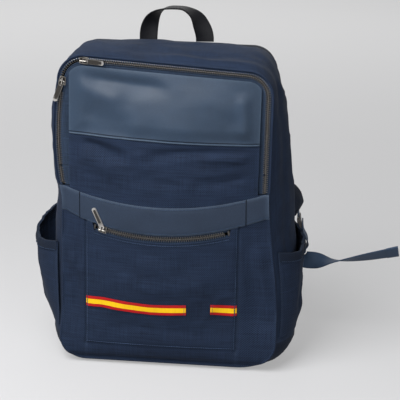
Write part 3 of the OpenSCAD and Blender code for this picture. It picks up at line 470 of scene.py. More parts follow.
def settle(P):
    """The bag's soft set: bowed left zip, top that sinks to the right, full lower front, slumped right corner."""
    x, y, z = P[..., 0], P[..., 1], P[..., 2]
    k = np.clip((YB - y) / DEPTH, 0, 1)
    rise = (2 * z - RUN_TOP - BAND_Z) / (RUN_TOP - BAND_Z)
    bow = 6 * np.clip((-x - FLAP_HX) / 4.8, 0, 1) * np.maximum(0, 1 - rise ** 2)
    sink = 12 * np.clip((x + TOP_X) / (2 * TOP_X), 0, 1) * np.clip((rise + 1) / 2, 0, 1)
    flare = 17 * S((x - 95) / 46.6) * S((265 - z) / 200)
    tuck = 4.5 * S((-x - 105) / 31) * S((264 - z) / 30) * S((z - 5) / 80)
    droop = 4 * S(y / YB) * S((z - 390) / 35) * S((np.abs(x - 10) - 50) / 60)
    low = z - ZB
    toe = S((-20 - y) / 50) * (9 * S((75 - low) / 65) - 4.5 * np.clip(1 - low / 7, 0, 1) ** 2)
    return points(x - k * bow + np.sqrt(k) * flare + k * tuck, y - toe, z - k * sink - droop)


def crown(x, z):
    return 24 * np.maximum(0, 1 - (x / HX) ** 2) * np.maximum(0, 1 - np.abs(2 * (z - ZB) / (ZT - ZB) - 1) ** 3)


def front(x, z, lift):
    return settle(points(x, YF - crown(x, z) - lift, z))


def corner_drop(x, r, inset):
    a = np.abs(x) - (HX - r)
    return np.where(a <= 0, r - inset, np.sqrt(np.maximum(0, (r - inset) ** 2 - a * a)))


def level(z):
    return lambda x: 0 * x + z


rim_top = lambda x, inset: RUN_TOP + corner_drop(x, TOP_R, inset)
rim_base = lambda x: RUN_LOW - corner_drop(x, BASE_R, -EDGE)
band_sag = lambda x: np.maximum(0, 1 - (x / HX) ** 2)
band_top = lambda x: BAND_Z - 18 * band_sag(x)
band_base = lambda x: 220 - 23 * band_sag(x)
zip_z = lambda x: band_base(x) - 6
at_depth = lambda P, y: P * V(1, 0, 1) + V(0, y, 0)

LEATHER_FOLDS = [(-112, 408, 10, 398, 13, -4.6), (-126, 394, -52, 378, 14, 3.2), (20, 390, 98, 384, 18, 2.2),
    (106, 404, 110, 336, 11, 5.5), (-110, 356, -40, 342, 16, -3.0)]
FLAP_FOLDS = [(-114, 328, -46, 296, 9, -6.0), (-118, 304, -56, 280, 12, 3.5), (-22, 305, 40, 318, 8, -4.0),
    (26, 317, 124, 323, 8, -3.6), (50, 305, 124, 312, 8, 3.5), (40, 266, 122, 281, 9, -3.5),
    (-40, 276, 30, 262, 10, -2.5)]
LOW_FOLDS = [(-92, 158, 10, 128, 11, -2.0), (-60, 62, 70, 54, 9, -1.6), (-40, 118, 80, 128, 12, 1.4),
    (112, 196, 124, 60, 8, -3.4), (122, 190, 134, 80, 7, 2.6), (-112, 200, -120, 70, 8, -2.6),
    (-134, 160, -108, 128, 7, 2.0)]


def dent(x, z):
    """Soft hills and hollows of the front, none of them at a seam or a zip."""
    P = points(x, 0.0, z)
    flap = S((123 - np.abs(x)) / 26) * S((rim_top(x, 6) - z) / 20) * S((z - 250) / 26)
    seam = 1 - 0.75 * np.exp(-((np.abs(x) - POCKET_HX) / 7) ** 2)
    low = seam * S((zip_z(x) - 14 - z) / 26) * S((z - 30) / 30)
    d = flap * S((z - SEAM_Z + 6) / 12) * (2.2 * fractal(P, 70, 1) + folds(x, z, LEATHER_FOLDS))
    d += flap * S((SEAM_Z - 2 - z) / 12) * (1.5 * fractal(P * V(1, 1, 2.2), 60, 2) + folds(x, z, FLAP_FOLDS)
        + 0.9 * wrinkles(P * V(0.5, 1, 1.8), 40, 21))
    return d + low * (1.9 * fractal(P, 62, 3) + 0.9 * wrinkles(P * V(1, 1, 0.7), 46, 22) + folds(x, z, LOW_FOLDS))


def surf(x, z, lift):
    """Points of the creased front."""
    x, z = np.broadcast_arrays(x, z)
    return front(x, z, lift + dent(x, z))


def panel(name, xs, low, high, rows, lift, t, mat, nodes, extra=None, soft=1.0, body="bag"):
    """A panel of the front between two lines, with lift extra(x, z, share of its height) and soft times the dents."""
    x = np.repeat(xs[:, None], rows + 1, 1)
    w = np.linspace(0, 1, rows + 1)[None, :]
    z = low(xs)[:, None] + (high(xs) - low(xs))[:, None] * w
    total = lift + soft * dent(x, z) + (extra(x, z, w) if extra else 0)
    return sheet(name, front(x, z, total), t, mat, nodes, body, uv=points(x, z))


def even(a, b, n):
    return np.linspace(a, b, n + 1)


def wide(half, n):
    """Places across the front, closer together at its sides."""
    return half * np.sin(np.linspace(-np.pi / 2, np.pi / 2, n + 1))


# Rim of the sides, top and base as rows of x, z, outward x, outward z
def arc(cx, cz, r, a0, a1, n):
    a = np.radians(np.linspace(a0, a1, n + 1))
    return points(cx + r * np.cos(a), cz + r * np.sin(a), np.cos(a), np.sin(a))


def straight(x0, z0, x1, z1, nx, nz, n):
    k = np.linspace(0, 1, n + 1)[:, None]
    return np.concatenate([V(x0, z0) + (V(x1, z1) - V(x0, z0)) * k, np.tile(V(nx, nz), (n + 1, 1))], 1)


def joined(*parts):
    return np.concatenate([parts[0]] + [p[1:] for p in parts[1:]])


UPPER = joined(straight(-HX, RUN_LOW, -HX, RUN_TOP, -1, 0, 58), arc(-TOP_X, RUN_TOP, TOP_R, 180, 90, 12),
    straight(-TOP_X, ZT, TOP_X, ZT, 0, 1, 38), arc(TOP_X, RUN_TOP, TOP_R, 90, 0, 12),
    straight(HX, RUN_TOP, HX, RUN_LOW, 1, 0, 58))
LOWER = joined(arc(HX - BASE_R, RUN_LOW, BASE_R, 0, -90, 14), straight(HX - BASE_R, ZB, BASE_R - HX, ZB, 0, -1, 30),
    arc(BASE_R - HX, RUN_LOW, BASE_R, -90, -180, 14))
LOOP = joined(UPPER, LOWER)[:-1]

# Folds over the run along the rim from the foot of the left pocket (left side to 341, top 385 to 601, right side
# 645 to 986) and the depth
SHELL_FOLDS = [(20, 40, 300, 52, 12, -2.4), (60, 92, 290, 84, 12, -1.8), (296, 14, 372, 60, 9, 3.2),
    (330, 20, 400, 84, 9, -2.8), (420, 30, 560, 40, 12, -1.8), (490, 20, 620, 15, 7, 3.4),
    (520, 42, 640, 36, 11, -3.2), (606, 60, 700, 20, 9, -3.2), (636, 40, 690, 90, 10, 3.2),
    (680, 30, 960, 24, 8, -3.0), (690, 56, 940, 66, 10, 3.0), (700, 84, 920, 90, 9, -2.4)]
LOOP_RUN = runs(LOOP[:, :2]) + RUN_LOW - POCKET_LOW


def gusset(rims, vs, inner=0.0):
    x, z, nx, nz = rims.T[:, :, None]
    out = EDGE + swell(nx, nz, vs, z) - inner
    return settle(points(x + nx * out, YF + DEPTH * vs, z + nz * out))


def soft_gusset(first, last, vs, inner=0.0):
    """The sides, top and base with their folds, over the rims first to last of the loop."""
    ids = np.arange(first, last + 1) % len(LOOP)
    rims = LOOP[ids]
    P = gusset(rims, vs)
    stiff = 0.4 + 0.6 * S((rims[:, 1] - 30) / 40)[:, None]
    d = stiff * (2.0 * fractal(P, 66, 5) + 1.2 * wrinkles(P * V(1, 0.7, 0.8), 44, 6))
    d = d + folds(LOOP_RUN[ids][:, None], DEPTH * vs[None, :], SHELL_FOLDS)
    d = d * S(vs / 0.1)[None, :] * S((1 - vs) / 0.08)[None, :]
    return gusset(rims, vs, inner) + outward(P)[0] * d[..., None]


VS = np.r_[0, 0.012, 0.04, np.linspace(0.08, 0.92, 22), 0.96, 0.988, 1]
CORNER = len(UPPER) - 1
sheet("shell_sides_and_top", soft_gusset(0, CORNER, VS), SHELL_T, navy,
    ("side_panel_left", "side_panel_right", "top_panel"))
sheet("shell_base", soft_gusset(CORNER, len(LOOP), VS), SHELL_T, navy_base, "base_panel")
lining = soft_gusset(0, len(LOOP) - 1, np.linspace(0.1, 0.95, 14), 3.2)
sheet("main_compartment_lining", lining, LINING_T, inside, "main_lining")


# Rolled edge round the front, and bound edge round the back
def edge_roll(name, rims, out, y, section, mat, closed=False):
    x, z, nx, nz = rims.T
    path = settle(points(x + nx * out, y, z + nz * out))
    add(name, [loft(path, points(nx, 0, nz), section, closed)], mat)


lower_edge = joined(straight(HX, 252, HX, RUN_LOW, 1, 0, 40), LOWER, straight(-HX, RUN_LOW, -HX, 252, -1, 0, 40))
edge_roll("zip_edge_fold", UPPER[UPPER[:, 1] > BAND_Z], 6.5, -64.2, circle(1.3), navy)
edge_roll("front_edge_piping", lower_edge, 5.0, -65.2, circle(1.9), navy)
edge_roll("back_edge_binding", LOOP, 3.6, 67, circle(2.6, 10, 1.7), navy_base, True)

# Back panel: rings from the middle of its outer face, round its edge, to the middle of its inner face
BACK_IN, BACK_OUT = 64.2, 72.0
rings = []
for inset, y in ((1.0, 65.0), (1.0, 69.5), (2.5, 71.4), (6, BACK_OUT), (16, BACK_OUT)):
    p = LOOP[:, :2] + LOOP[:, 2:] * (EDGE - inset)
    rings.append(points(p[:, 0], y, p[:, 1]))
rings += [at_depth(CENTRE + (rings[4] - CENTRE) * f, BACK_OUT) for f in (0.8, 0.55, 0.3, 0.08)]
back = np.array(rings[::-1] + [at_depth(r, BACK_IN) for r in rings[:1] + rings[4:]])
faces = ring_faces(*back.shape[:2])
lined = [int(f[0] >= len(rings) * len(LOOP)) for f in faces[:-2]] + [0, 1]
back = back.reshape(-1, 3)
build("back_panel_cloth", back, faces, [navy_base, inside], "back_panel", uvs=back[:, [0, 2]], fmat=lined)


def rounded(cy, hx, hy, r, inset=0.0):
    """A rectangle with round corners, as points of a plane."""
    corners = ((1, 1, 0), (-1, 1, 90), (-1, -1, 180), (1, -1, 270))
    arcs = [arc(sx * (hx - r), cy + sy * (hy - r), r - inset, a, a + 90, 8) for sx, sy, a in corners]
    return np.concatenate(arcs)[:, :2]


# Patch under the base
patch = [points(*rounded(0, 91, 38.4, 12, inset).T, z) for inset, z in ((0.6, 0.0), (0, 0.5), (0, 1.8))]
faces = ring_faces(len(patch), len(patch[0]))
patch = np.concatenate(patch)
build("base_patch_cloth", patch, faces, navy_base, "base_patch", uvs=patch[:, :2])


# Front below the flap
def pocket_high(x):
    step = S((np.abs(x) - 91) / 3.5)
    return (zip_z(x) - 5.3) * (1 - step) + (band_base(x) + 1.5) * step


def groove(x, z):
    """Depth of the pocket's side seams."""
    return 2.4 * S((z - 25) / 8) * np.exp(-((np.abs(x) - POCKET_HX) / 2.0) ** 2)


def puff(x, z, w=0):
    """The pocket's own lift: a step and a dip at its lower seam, side seams and a full middle."""
    full = S((100 - np.abs(x)) / 60) * S((z - 40) / 60) * S((zip_z(x) - 12 - z) / 50)
    return PUFF_STEP * S((z - 29) / 6) - groove(x, z) - 1.2 * np.exp(-((z - 32) / 2.4) ** 2) + 2.2 * full


PUFF_STEP, POCKET_LIFT = 0.7, 2.2
under_band = lambda x: band_base(x) + 2
panel("front_yoke_cloth", wide(HX + EDGE, 60), under_band, level(253.7), 8, 1.0, 1.0, navy, "front_yoke")
for s, side in SIDES:
    xs = np.sort(np.r_[even(POCKET_HX, 109, 6), even(111, HX + EDGE, 12)] * s)
    panel("lower_front_cloth_" + side, xs, rim_base, under_band, 60, POCKET_LIFT, SHELL_T, navy,
        "lower_front_" + side, lambda x, z, w: -groove(x, z))
ends = even(90.5, POCKET_HX, 16)
xs = np.unique(np.r_[even(-POCKET_HX, POCKET_HX, 68), -ends[::-1], ends])
panel("front_pocket_cloth", xs, rim_base, pocket_high, 72, POCKET_LIFT, SHELL_T, navy, "front_pocket_panel", puff)
z = np.linspace(36, band_base(POCKET_HX) - 1, 60)
xs = np.linspace(-POCKET_ZIP_HX, POCKET_ZIP_HX, 70)
sew("pocket_stitching", [surf(2 - POCKET_HX, z, 3.0), surf(POCKET_HX - 2, z, 3.0),
    surf(np.linspace(-101, 101, 70), 35.0, 3.1), surf(xs, zip_z(xs) - 8.2, 3.6)], thread)
xs = np.linspace(-91, 91, 60)
add("pocket_zip_edge_fold", [loft(surf(xs, zip_z(xs) - 5.6, 2.4), Z, circle(1.0))], navy)


# Leathercloth band
def band_roll(x, z, w):
    middle = 1 - (2 * w - 1) ** 2
    return -1.1 * np.abs(2 * w - 1) ** 7 + 0.5 * fractal(points(x, 0.0, z), 40, 8) * middle


BAND_LIFT, BAND_SEAM_X = 4.3, 112.0
panel("front_band_leather", wide(HX + EDGE, 84), band_base, band_top, 14, BAND_LIFT, 1.6, band_pu,
    "front_band", band_roll, 0)
above, below = np.linspace(-109, 109, 110), np.linspace(-139, 139, 110)
sew("band_stitching", [front(above, band_top(above) - 2.6, BAND_LIFT), front(below, band_base(below) + 2.6, BAND_LIFT)],
    thread, 3.2, 2.4, 0.36)
z = np.linspace(band_base(BAND_SEAM_X) + 1, band_top(BAND_SEAM_X) - 1, 14)
sew("band_seam_stitching", [front(x, z, BAND_LIFT - 0.1) for x in (-BAND_SEAM_X, BAND_SEAM_X)], thread_dark,
    2.4, 2.3, 0.6)

# Ribbon in two lengths: its middle line, half width and stripes
RIBBON_X, RIBBON_Z = V(-106, -91, -69, -41, -14, 7, 36, 68, 106), V(91, 95, 93.5, 91, 89, 89.5, 91.5, 92.5, 89)
RIBBON_HALF, STRIPES = 7.5, V(-1, -0.97, -0.5, -0.47, 0.47, 0.5, 0.97, 1)
for name, x0, x1, n in (("ribbon_left", -POCKET_HX, 36, 60), ("ribbon_right", 69, POCKET_HX, 18)):
    xs = even(x0, x1, n)
    middle = np.convolve(np.pad(np.interp(xs, RIBBON_X, RIBBON_Z), 6, "edge"), np.ones(13) / 13, "valid")
    x, z = np.repeat(xs[:, None], 8, 1), middle[:, None] + RIBBON_HALF * STRIPES[None, :]
    lift = 3.9 + puff(x, z) - PUFF_STEP + 0.25 * fractal(points(x, 0.0, z), 18, 9)
    sheet(name, surf(x, z, lift), 0.8, [red, yellow], "ribbon", rows=[0, 0, 0, 1, 0, 0, 0], uv=points(x, z))
    ends = []
    for x in (x0 + 2.5, x1 - 2.5):
        z = np.interp(x, xs, middle) + np.linspace(-6.5, 6.5, 8)
        ends.append(surf(x, z, 4.0 + puff(x, z) - PUFF_STEP))
    sew(name + "_stitching", ends, thread, 2.6, 2.0, 0.3)


# Flap
def lip(x, z, w=0):
    inset = np.minimum(FLAP_HX - np.abs(x), z - SEAM_Z)
    return 0.5 * np.exp(-((z - SEAM_Z) / 6) ** 2) + 3 * S(inset / 22)


LEATHER_LIFT, STITCH_Z = 2.2, SEAM_Z + 2.6
flap_xs = wide(FLAP_HX, 64)
cloth_flap = panel("flap_lower_cloth", flap_xs, lambda x: band_top(x) - 3, level(SEAM_Z + 3), 40, 2.3, FLAP_T, navy,
    "flap_fabric_panel", body=None)
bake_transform(cloth_flap)
panel("flap_upper_leather", flap_xs, level(SEAM_Z), lambda x: rim_top(x, 6), 48, LEATHER_LIFT, 1.8, panel_pu,
    "flap_leather_panel", lip, body="flap")
xs = np.linspace(-126, 126, 90)
roll = loft(surf(xs, SEAM_Z + 0.2, 2.9), Z, circle(1.05))
add("flap_seam_roll", [roll], panel_pu, "flap_seam_welt", "flap", edge=np.ones(len(roll[0])))
row = surf(xs, STITCH_Z, LEATHER_LIFT + lip(xs, STITCH_Z))
sew("flap_seam_stitching", [row], thread_dark, 3.2, 2.8, 0.5, body="flap")
panel("flap_lining_cloth", wide(123.0, 40), level(254.5), lambda x: rim_top(x, 13), 30, -0.4, LINING_T, inside,
    "flap_lining", body="flap")

# Main zip, by the run along its U from the lower left end
SIDE_RUN, ARC_RUN = RUN_TOP - BAND_Z, math.pi / 2 * TOP_R
ZIP_RUN = 2 * (SIDE_RUN + ARC_RUN + TOP_X)
ZIP_END = 28.0
# The flap's side is bare where the two sliders are parked, at the top of the left run and past its corner
BELOW_SLIDERS, PAST_SLIDERS = SIDE_RUN - 14, SIDE_RUN + ARC_RUN + 7.5
PITCH = 3.0  # of the teeth on one side
TAPE_IN, BEAD_IN = 2.4, 2.7  # insets of the tape's edge and of its bead


def u_point(s, inset):
    """A point of the zip at run s, inset from its middle line."""
    m = np.minimum(s, ZIP_RUN - s)
    a = np.clip((m - SIDE_RUN) / ARC_RUN, 0, 1) * np.pi / 2
    on_side, on_arc, r = m < SIDE_RUN, m < SIDE_RUN + ARC_RUN, TOP_R - inset
    x = np.where(on_side, inset - HX, np.where(on_arc, -TOP_X - r * np.cos(a), m - SIDE_RUN - ARC_RUN - TOP_X))
    z = np.where(on_side, BAND_Z + m, np.where(on_arc, RUN_TOP + r * np.sin(a), ZT - inset))
    x = np.where(s <= ZIP_RUN / 2, x, -x)
    return at_depth(settle(points(x, YF, z)), ZIP_Y)


TOOTH = V((3.5, 0.52), (1.6, 0.55), (0.7, 0.42), (0.1, 0.6), (-0.6, 0.55), (-0.9, 0.3))
TOOTH = np.concatenate([TOOTH, TOOTH[::-1] * V(1, -1)])


def tooth(p, along, inward):
    """One tooth: its outline in the plane of the zip, with rounded faces front and back."""
    n = np.cross(along, inward)
    layers = ((-1.2, 0.72), (-0.85, 1.0), (0.85, 1.0), (1.2, 0.72))
    v = [p + inward * ((TOOTH[:, :1] - 0.6) * k + 0.6) + along * TOOTH[:, 1:] * k + n * y for y, k in layers]
    return np.concatenate(v), ring_faces(len(layers), len(TOOTH)), np.tile(TOOTH, (len(layers), 1))


def tooth_row(s0, s1, side):
    out = []
    for i in range(math.ceil((s0 + 1.2) / PITCH), math.floor((s1 - 1.2) / PITCH) + 1):
        s = i * PITCH + (0 if side > 0 else PITCH / 2)
        if s + 0.6 < s1:
            p = u_point(s, 0)
            out.append(tooth(p, unit(u_point(s + 0.4, 0) - u_point(s - 0.4, 0)), unit(u_point(s, side * 1.0) - p)))
    return out


def steps_along(s0, s1):
    return np.linspace(s0, s1, max(3, int((s1 - s0) / 4)))


def zip_tape(name, s0, s1, inner, outer, body, node, drop=0.0):
    """Tape between two insets, whose outer edge lies further in by drop."""
    ss, ks = steps_along(s0, s1), np.linspace(inner, outer, 4)
    P = np.stack([u_point(ss, k) for k in ks], 1)
    P[..., 1] += np.linspace(0, drop, 4) - TAPE_T / 2
    sheet(name, P, TAPE_T, tape, node, body, uv=points(ks[None, :], ss[:, None]))


def bead(s0, s1, inset):
    return loft(u_point(steps_along(s0, s1), inset), Y, circle(0.95, 6))


BODY_RUN, FLAP_RUN = (0.3, ZIP_RUN - 0.3), (ZIP_END, ZIP_RUN - ZIP_END)
END_RUNS = ((0.3, ZIP_END - 0.6), (ZIP_RUN - ZIP_END + 0.6, ZIP_RUN - 0.3))
flap_teeth = tooth_row(ZIP_END, BELOW_SLIDERS, 1) + tooth_row(PAST_SLIDERS, ZIP_RUN - ZIP_END, 1)
end_teeth = sum([tooth_row(*run, 1) for run in END_RUNS], [])
add("main_zip_teeth_body_side", tooth_row(*BODY_RUN, -1), teeth_metal, "main_zip_teeth_body")
add("main_zip_teeth_flap_side", flap_teeth, teeth_metal, "main_zip_teeth_flap", "flap")
add("main_zip_end_teeth", end_teeth, teeth_metal, "main_zip_ends")
zip_tape("main_zip_tape_flap_side", *FLAP_RUN, TAPE_IN, 12.5, "flap", "main_zip_tape_flap")
add("main_zip_bead_flap_side", [bead(*FLAP_RUN, BEAD_IN)], tape, body="flap")
for i, run in enumerate(END_RUNS):
    zip_tape("main_zip_end_tape_%d" % (i + 1), *run, TAPE_IN, 8.6, "bag", "main_zip_end_tapes")
add("main_zip_end_beads", [bead(*run, BEAD_IN) for run in END_RUNS], tape)
zip_tape("main_zip_tape_body_side", *BODY_RUN, -TAPE_IN, -7.5, "bag", "main_zip_tape_body", 2.2)
add("main_zip_bead_body_side", [bead(*BODY_RUN, -BEAD_IN)], tape)

# Front pocket zip on its wide arc: axis, lowest point, centre and radius
AXIS = V(0, -0.691905, 0.721988)
ARC_LOW, ARC_C, ARC_R = V(0, -87.5467, 191), V(0, 118.339, 388.307), 285.165
TEETH_HX = 88


def turn(v, a):
    c, s = math.cos(a), math.sin(a)
    return v * c + np.cross(AXIS, v) * s + AXIS * (v @ AXIS) * (1 - c)


def pocket_row(side):
    step = PITCH / ARC_R
    n = math.floor(math.asin(TEETH_HX / ARC_R) / step)
    angles = [i * step + (0 if side > 0 else step / 2) for i in range(-n, n)]
    return [tooth(ARC_C + turn(ARC_LOW - ARC_C, a), turn(X, a), turn(Z, a) * side) for a in angles]


add("pocket_zip_teeth_above", pocket_row(1), teeth_metal, "pocket_zip_teeth_upper")
add("pocket_zip_teeth_below", pocket_row(-1), teeth_metal, "pocket_zip_teeth_lower")
xs = even(-POCKET_ZIP_HX, POCKET_ZIP_HX, 50)
for name, node, low, high in (("above", "upper", TAPE_IN, 11), ("below", "lower", -12, -TAPE_IN)):
    panel("pocket_zip_tape_" + name, xs, lambda x: zip_z(x) + low, lambda x: zip_z(x) + high, 3, 0.0, TAPE_T, tape,
        "pocket_zip_tape_" + node, soft=0)
POUCH_HX = 98
full = lambda u: np.maximum(0, 1 - np.abs(u) ** 4)
dish = lambda x, z, w: -1.0 - 16 * full(x / POUCH_HX) * full(2 * w - 1)
panel("front_pocket_pouch_cloth", even(-POUCH_HX, POUCH_HX, 34), level(40), lambda x: zip_z(x) - 9.4, 30, 0, 1.0,
    inside, "front_pocket_pouch", dish, 0)

# Side pockets, by the share v of the depth and w of the height
POCKET_FOLDS = [(30, 70, 58, 150, 8, -2.2), (84, 74, 70, 160, 8, 1.8)]


def pocket_point(s, v, w, out):
    z = POCKET_LOW + (172 + 33 * v - 18 * share(v) - POCKET_LOW) * w
    gape = (24 if s < 0 else 12) * share(v) * np.minimum(1, 4 * w) * (0.25 + 0.75 * w)
    gape = gape + (7 if s < 0 else 0) * share(v) * np.sin(np.pi * np.clip(w, 0, 1)) ** 0.8
    o = EDGE + swell(s + 0 * v, 0 * v, v, z) + 0.2 + gape
    return settle(points(s * (HX + o + out), YF + DEPTH * v, z))


def pocket_skin(s, v, w, lift):
    P = pocket_point(s, v, w, 0)
    ripple = 0.9 * np.sin(v * 60 + 2 * np.sin(v * 17)) * S((w - 0.55) / 0.4)
    soft = (1.8 * fractal(P, 40, 11 + s) + 1.0 * wrinkles(P * V(1, 1, 0.7), 36, 14 + s)) * S(w / 0.2)
    return pocket_point(s, v, w, lift + share(v) * (ripple + soft + folds(DEPTH * v, P[..., 2], POCKET_FOLDS)))


HEM_LOW, HEM_HIGH = 0.9, 1.012
for s, side in SIDES:
    vs = np.linspace(0.03, 0.97, 44)
    v, w = np.meshgrid(vs, np.linspace(0, 1, 36), indexing="ij")
    sheet("side_pocket_cloth_" + side, pocket_skin(s, v, w, 1.7), 1.5, navy, "side_pocket_" + side)
    v, w = np.meshgrid(vs, np.linspace(HEM_LOW, HEM_HIGH, 7), indexing="ij")
    bulge = 0.5 * (1 - (2 * (w - HEM_LOW) / (HEM_HIGH - HEM_LOW) - 1) ** 4)
    sheet("side_pocket_hem_cloth_" + side, pocket_skin(s, v, w, 2.9 + bulge), 3.4, navy_base, "side_pocket_hem_" + side)
    v = np.linspace(0.05, 0.95, 60)
    sew("side_pocket_stitching_" + side, [pocket_skin(s, v, 0.905 + 0 * v, 3.1)], thread, out=s * X)

# Straps and webbing
WEBBING_W, WEBBING_T, STRAP_W, STRAP_T = 25, 1.8, 58, 9.5
R_LEAN, L_LEAN = -8, 14  # of the buckles, in degrees


def route(p, steps):
    """A smooth curve through the points p."""
    t = np.arange(steps)[:, None] / steps
    p = [p[0], *p, p[-1]]
    out = [0.5 * (2 * b + (c - a) * t + (2 * a - 5 * b + 4 * c - d) * t * t + (3 * b - a - 3 * c + d) * t ** 3)
        for a, b, c, d in zip(p, p[1:], p[2:], p[3:])]
    return np.concatenate(out + [p[-1:]])


def strap_route(x, swing, fall, shares):
    return [V(x + swing * a, 78.7 + 46 * b, 399 - fall * c) for a, b, c in shares]


def down(lean):
    return V(-math.sin(math.radians(lean)), 0, -math.cos(math.radians(lean)))


R_ROUTE = strap_route(46, 133, 217, [(0, 0, 0), (0.06, 0.55, 0.2), (0.17, 1, 0.5), (0.6, 0.85, 0.77), (0.92, 0.75, 0.9),
    (1, 0.72, 1)])
L_ROUTE = strap_route(-46, -48, 224, [(0, 0, 0), (0.17, 0.55, 0.2), (0.42, 1, 0.49), (0.71, 0.9, 0.78), (1, 0.45, 1)])
R_SIDES = [X, X, V(0.95, 0.3, 0), V(0.6, 0.8, 0), V(0.25, 1, 0), V(0.15, 1, 0)]
L_SIDES = [X] * 5
R_END, L_END = R_ROUTE[-1], L_ROUTE[-1]
R_BUCKLE, L_BUCKLE = R_END + down(R_LEAN) * 24, L_END + V(-8, -6, -40)


def bake(ob):
    me = bpy.data.meshes.new_from_object(ob.evaluated_get(bpy.context.evaluated_depsgraph_get()))
    ob.modifiers.clear()
    ob.data = me


def points_of(ob):
    co = np.empty(len(ob.data.vertices) * 3, np.float32)
    ob.data.vertices.foreach_get("co", co)
    return co.reshape(-1, 3).astype(float)


def move_points(ob, co):
    ob.data.vertices.foreach_set("co", co.astype(np.float32).ravel())


PRESSURE, FRAMES = 4, 20


def inflate(ob, voxel, cap):
    """Remeshes a pad and lets air pressure swell its cloth, no further than cap. Both lengths are in metres."""
    m = ob.modifiers.new("remesh", "REMESH")
    m.mode, m.voxel_size = "VOXEL", voxel
    bake(ob)
    rest = points_of(ob)
    c = ob.modifiers.new("cloth", "CLOTH")
    c.settings.use_pressure = True
    c.settings.uniform_pressure_force = PRESSURE
    c.settings.effector_weights.gravity = 0
    c.point_cache.frame_start, c.point_cache.frame_end = 1, FRAMES + 5
    for f in range(1, FRAMES + 1):
        scene.frame_set(f)
    bake(ob)
    scene.frame_set(1)
    move = points_of(ob) - rest
    size = np.linalg.norm(move, axis=1, keepdims=True)
    move_points(ob, rest + move * np.minimum(1, cap / np.maximum(size, 1e-9)))
    ob.modifiers.new("smooth", "SUBSURF").levels = 1
    bake(ob)
    ob.data.shade_smooth()


def pad_section(w, t, edge_t):
    u = np.sin(np.linspace(-np.pi / 2, np.pi / 2, 15))
    h = edge_t / 2 + (t - edge_t) / 2 * np.sqrt(1 - u * u)
    return np.concatenate([points(u * w / 2, h), points(u * w / 2, -h)[::-1]])[::-1]


for name, marks, sides in (("right", R_ROUTE, R_SIDES), ("left", L_ROUTE, L_SIDES)):
    path, side = route(marks, 12), route(sides, 12)
    pad = loft(path, side, pad_section(STRAP_W, STRAP_T, 3))
    ob = add("shoulder_strap_pad_" + name, [pad], mesh, "shoulder_strap_" + name, None)
    inflate(ob, 0.0045, 0.003)
    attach(ob, "bag")
    a, out = across(path, side)
    edges = [loft(path + a * k * STRAP_W / 2, a, circle(2.4, 8, 1.15)) for k in (-1, 1)]
    end = path[-1] + a[-1] * np.linspace(-STRAP_W / 2, STRAP_W / 2, 12)[:, None]
    edges.append(loft(end, out[-1], circle(2.4)))
    add("strap_binding_" + name, edges, navy_base)

# Back pad, with two sewn channels
PAD_HX, PAD_Z, PAD_HZ, CHANNEL_X = 110, 220.5, 162.5, 37.3
u, w = np.meshgrid(np.linspace(1, -1, 33), np.linspace(-1, 1, 49), indexing="ij")
P = points(u * PAD_HX, 73.9 + 8 * np.sqrt((1 - u ** 4) * (1 - w ** 4)), PAD_Z + w * PAD_HZ)
P = np.concatenate([P.reshape(-1, 3), at_depth(P, 72.3).reshape(-1, 3)])
pad = build("back_pad_mesh", P, slab_faces(*u.shape, True), mesh, "back_pad", None)
inflate(pad, 0.005, 0.004)
co = points_of(pad) / MM
x, y = co[:, 0], co[:, 1]
sewn = np.exp(-((np.abs(x) - CHANNEL_X) / 4.5) ** 2) + 0.5 * np.exp(-((np.abs(x) - 100) / 4) ** 2)
co[:, 1] = np.maximum(72.15, 72.2 + np.maximum(0, y - 72.2) * (1 - 0.62 * np.minimum(1, sewn) * S((y - 73) / 4)))
move_points(pad, co * MM)
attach(pad, "bag")
rows = [points(x, 76.6, np.linspace(66, 375, 120)) for x in (-CHANNEL_X, CHANNEL_X)]
sew("back_pad_stitching", rows, thread, 3.6, 2.6, 0.45, Y)
x, z = rounded(PAD_Z, 111, 163, 19).T
loop = points(x, 73.6, z)
add("back_pad_binding", [loft(loop, Y, circle(2.0), True)], navy_base)


def strap(name, marks, sides, node):
    path, side = route(marks, 10), route(sides, 10)
    section = flat_section(WEBBING_W, WEBBING_T)
    return add(name, [loft(path, side, section)], webbing, node), path, side


def between(a, b, shares):
    return [a] + [a + (b - a) * V(*k) for k in shares] + [b]


def beside(place, shares):
    """Points given from a place in widths of the webbing."""
    return [place + WEBBING_W * V(*k) for k in shares]


L_WIDE = np.cross(down(L_LEAN), Y)
R_LOWER = between(V(122, 76.2, 41), R_BUCKLE + down(R_LEAN) * 18,
    ((0.31, 0.14, 0.31), (0.61, 0.39, 0.59), (0.84, 0.79, 0.84)))
L_LOWER = between(V(-122, 76.2, 41), L_BUCKLE + down(L_LEAN) * 15, ((0.49, 0.23, 0.4),))
R_TAIL = beside(R_BUCKLE, ((0.16, 0, 0.24), (0.22, 0, -0.32), (0.44, -0.04, -0.76), (0.48, -0.16, -1.12),
    (0.28, -0.36, -1.44), (0.12, -0.56, -1.68), (0.32, -0.8, -1.86), (0.88, -0.96, -1.86),
    (2.24, -1.04, -1.8), (3.84, -1, -1.5), (5.8, -0.88, -1.06)))
R_TAIL_SIDES = [Y, Y, Y, V(0, 1, 0.1), V(0.1, 0.95, 0.2), V(0.1, 0.8, 0.5), V(0, 0.6, 0.8), V(0, 0.5, 0.87),
    V(0, 0.96, -0.25), V(0, 0.75, -0.65), V(0, 0.6, -0.8)]
L_TAIL = beside(L_BUCKLE, ((-0.08, 0.32, -0.32), (0, 0.48, -1.6), (0.16, 0.48, -3.2), (0.24, 0.4, -4.4)))
L_TAIL_SIDES = [L_WIDE, V(0.95, 0.2, 0), V(0.9, 0.4, 0), V(0.95, 0.2, 0)]
strap("lower_webbing_right_cloth", R_LOWER, [V(0.8, 0, -0.6), V(0.8, 0.3, -0.5), V(0.5, 0.8, -0.3), V(0.2, 1, 0), Y],
    "lower_webbing_right")
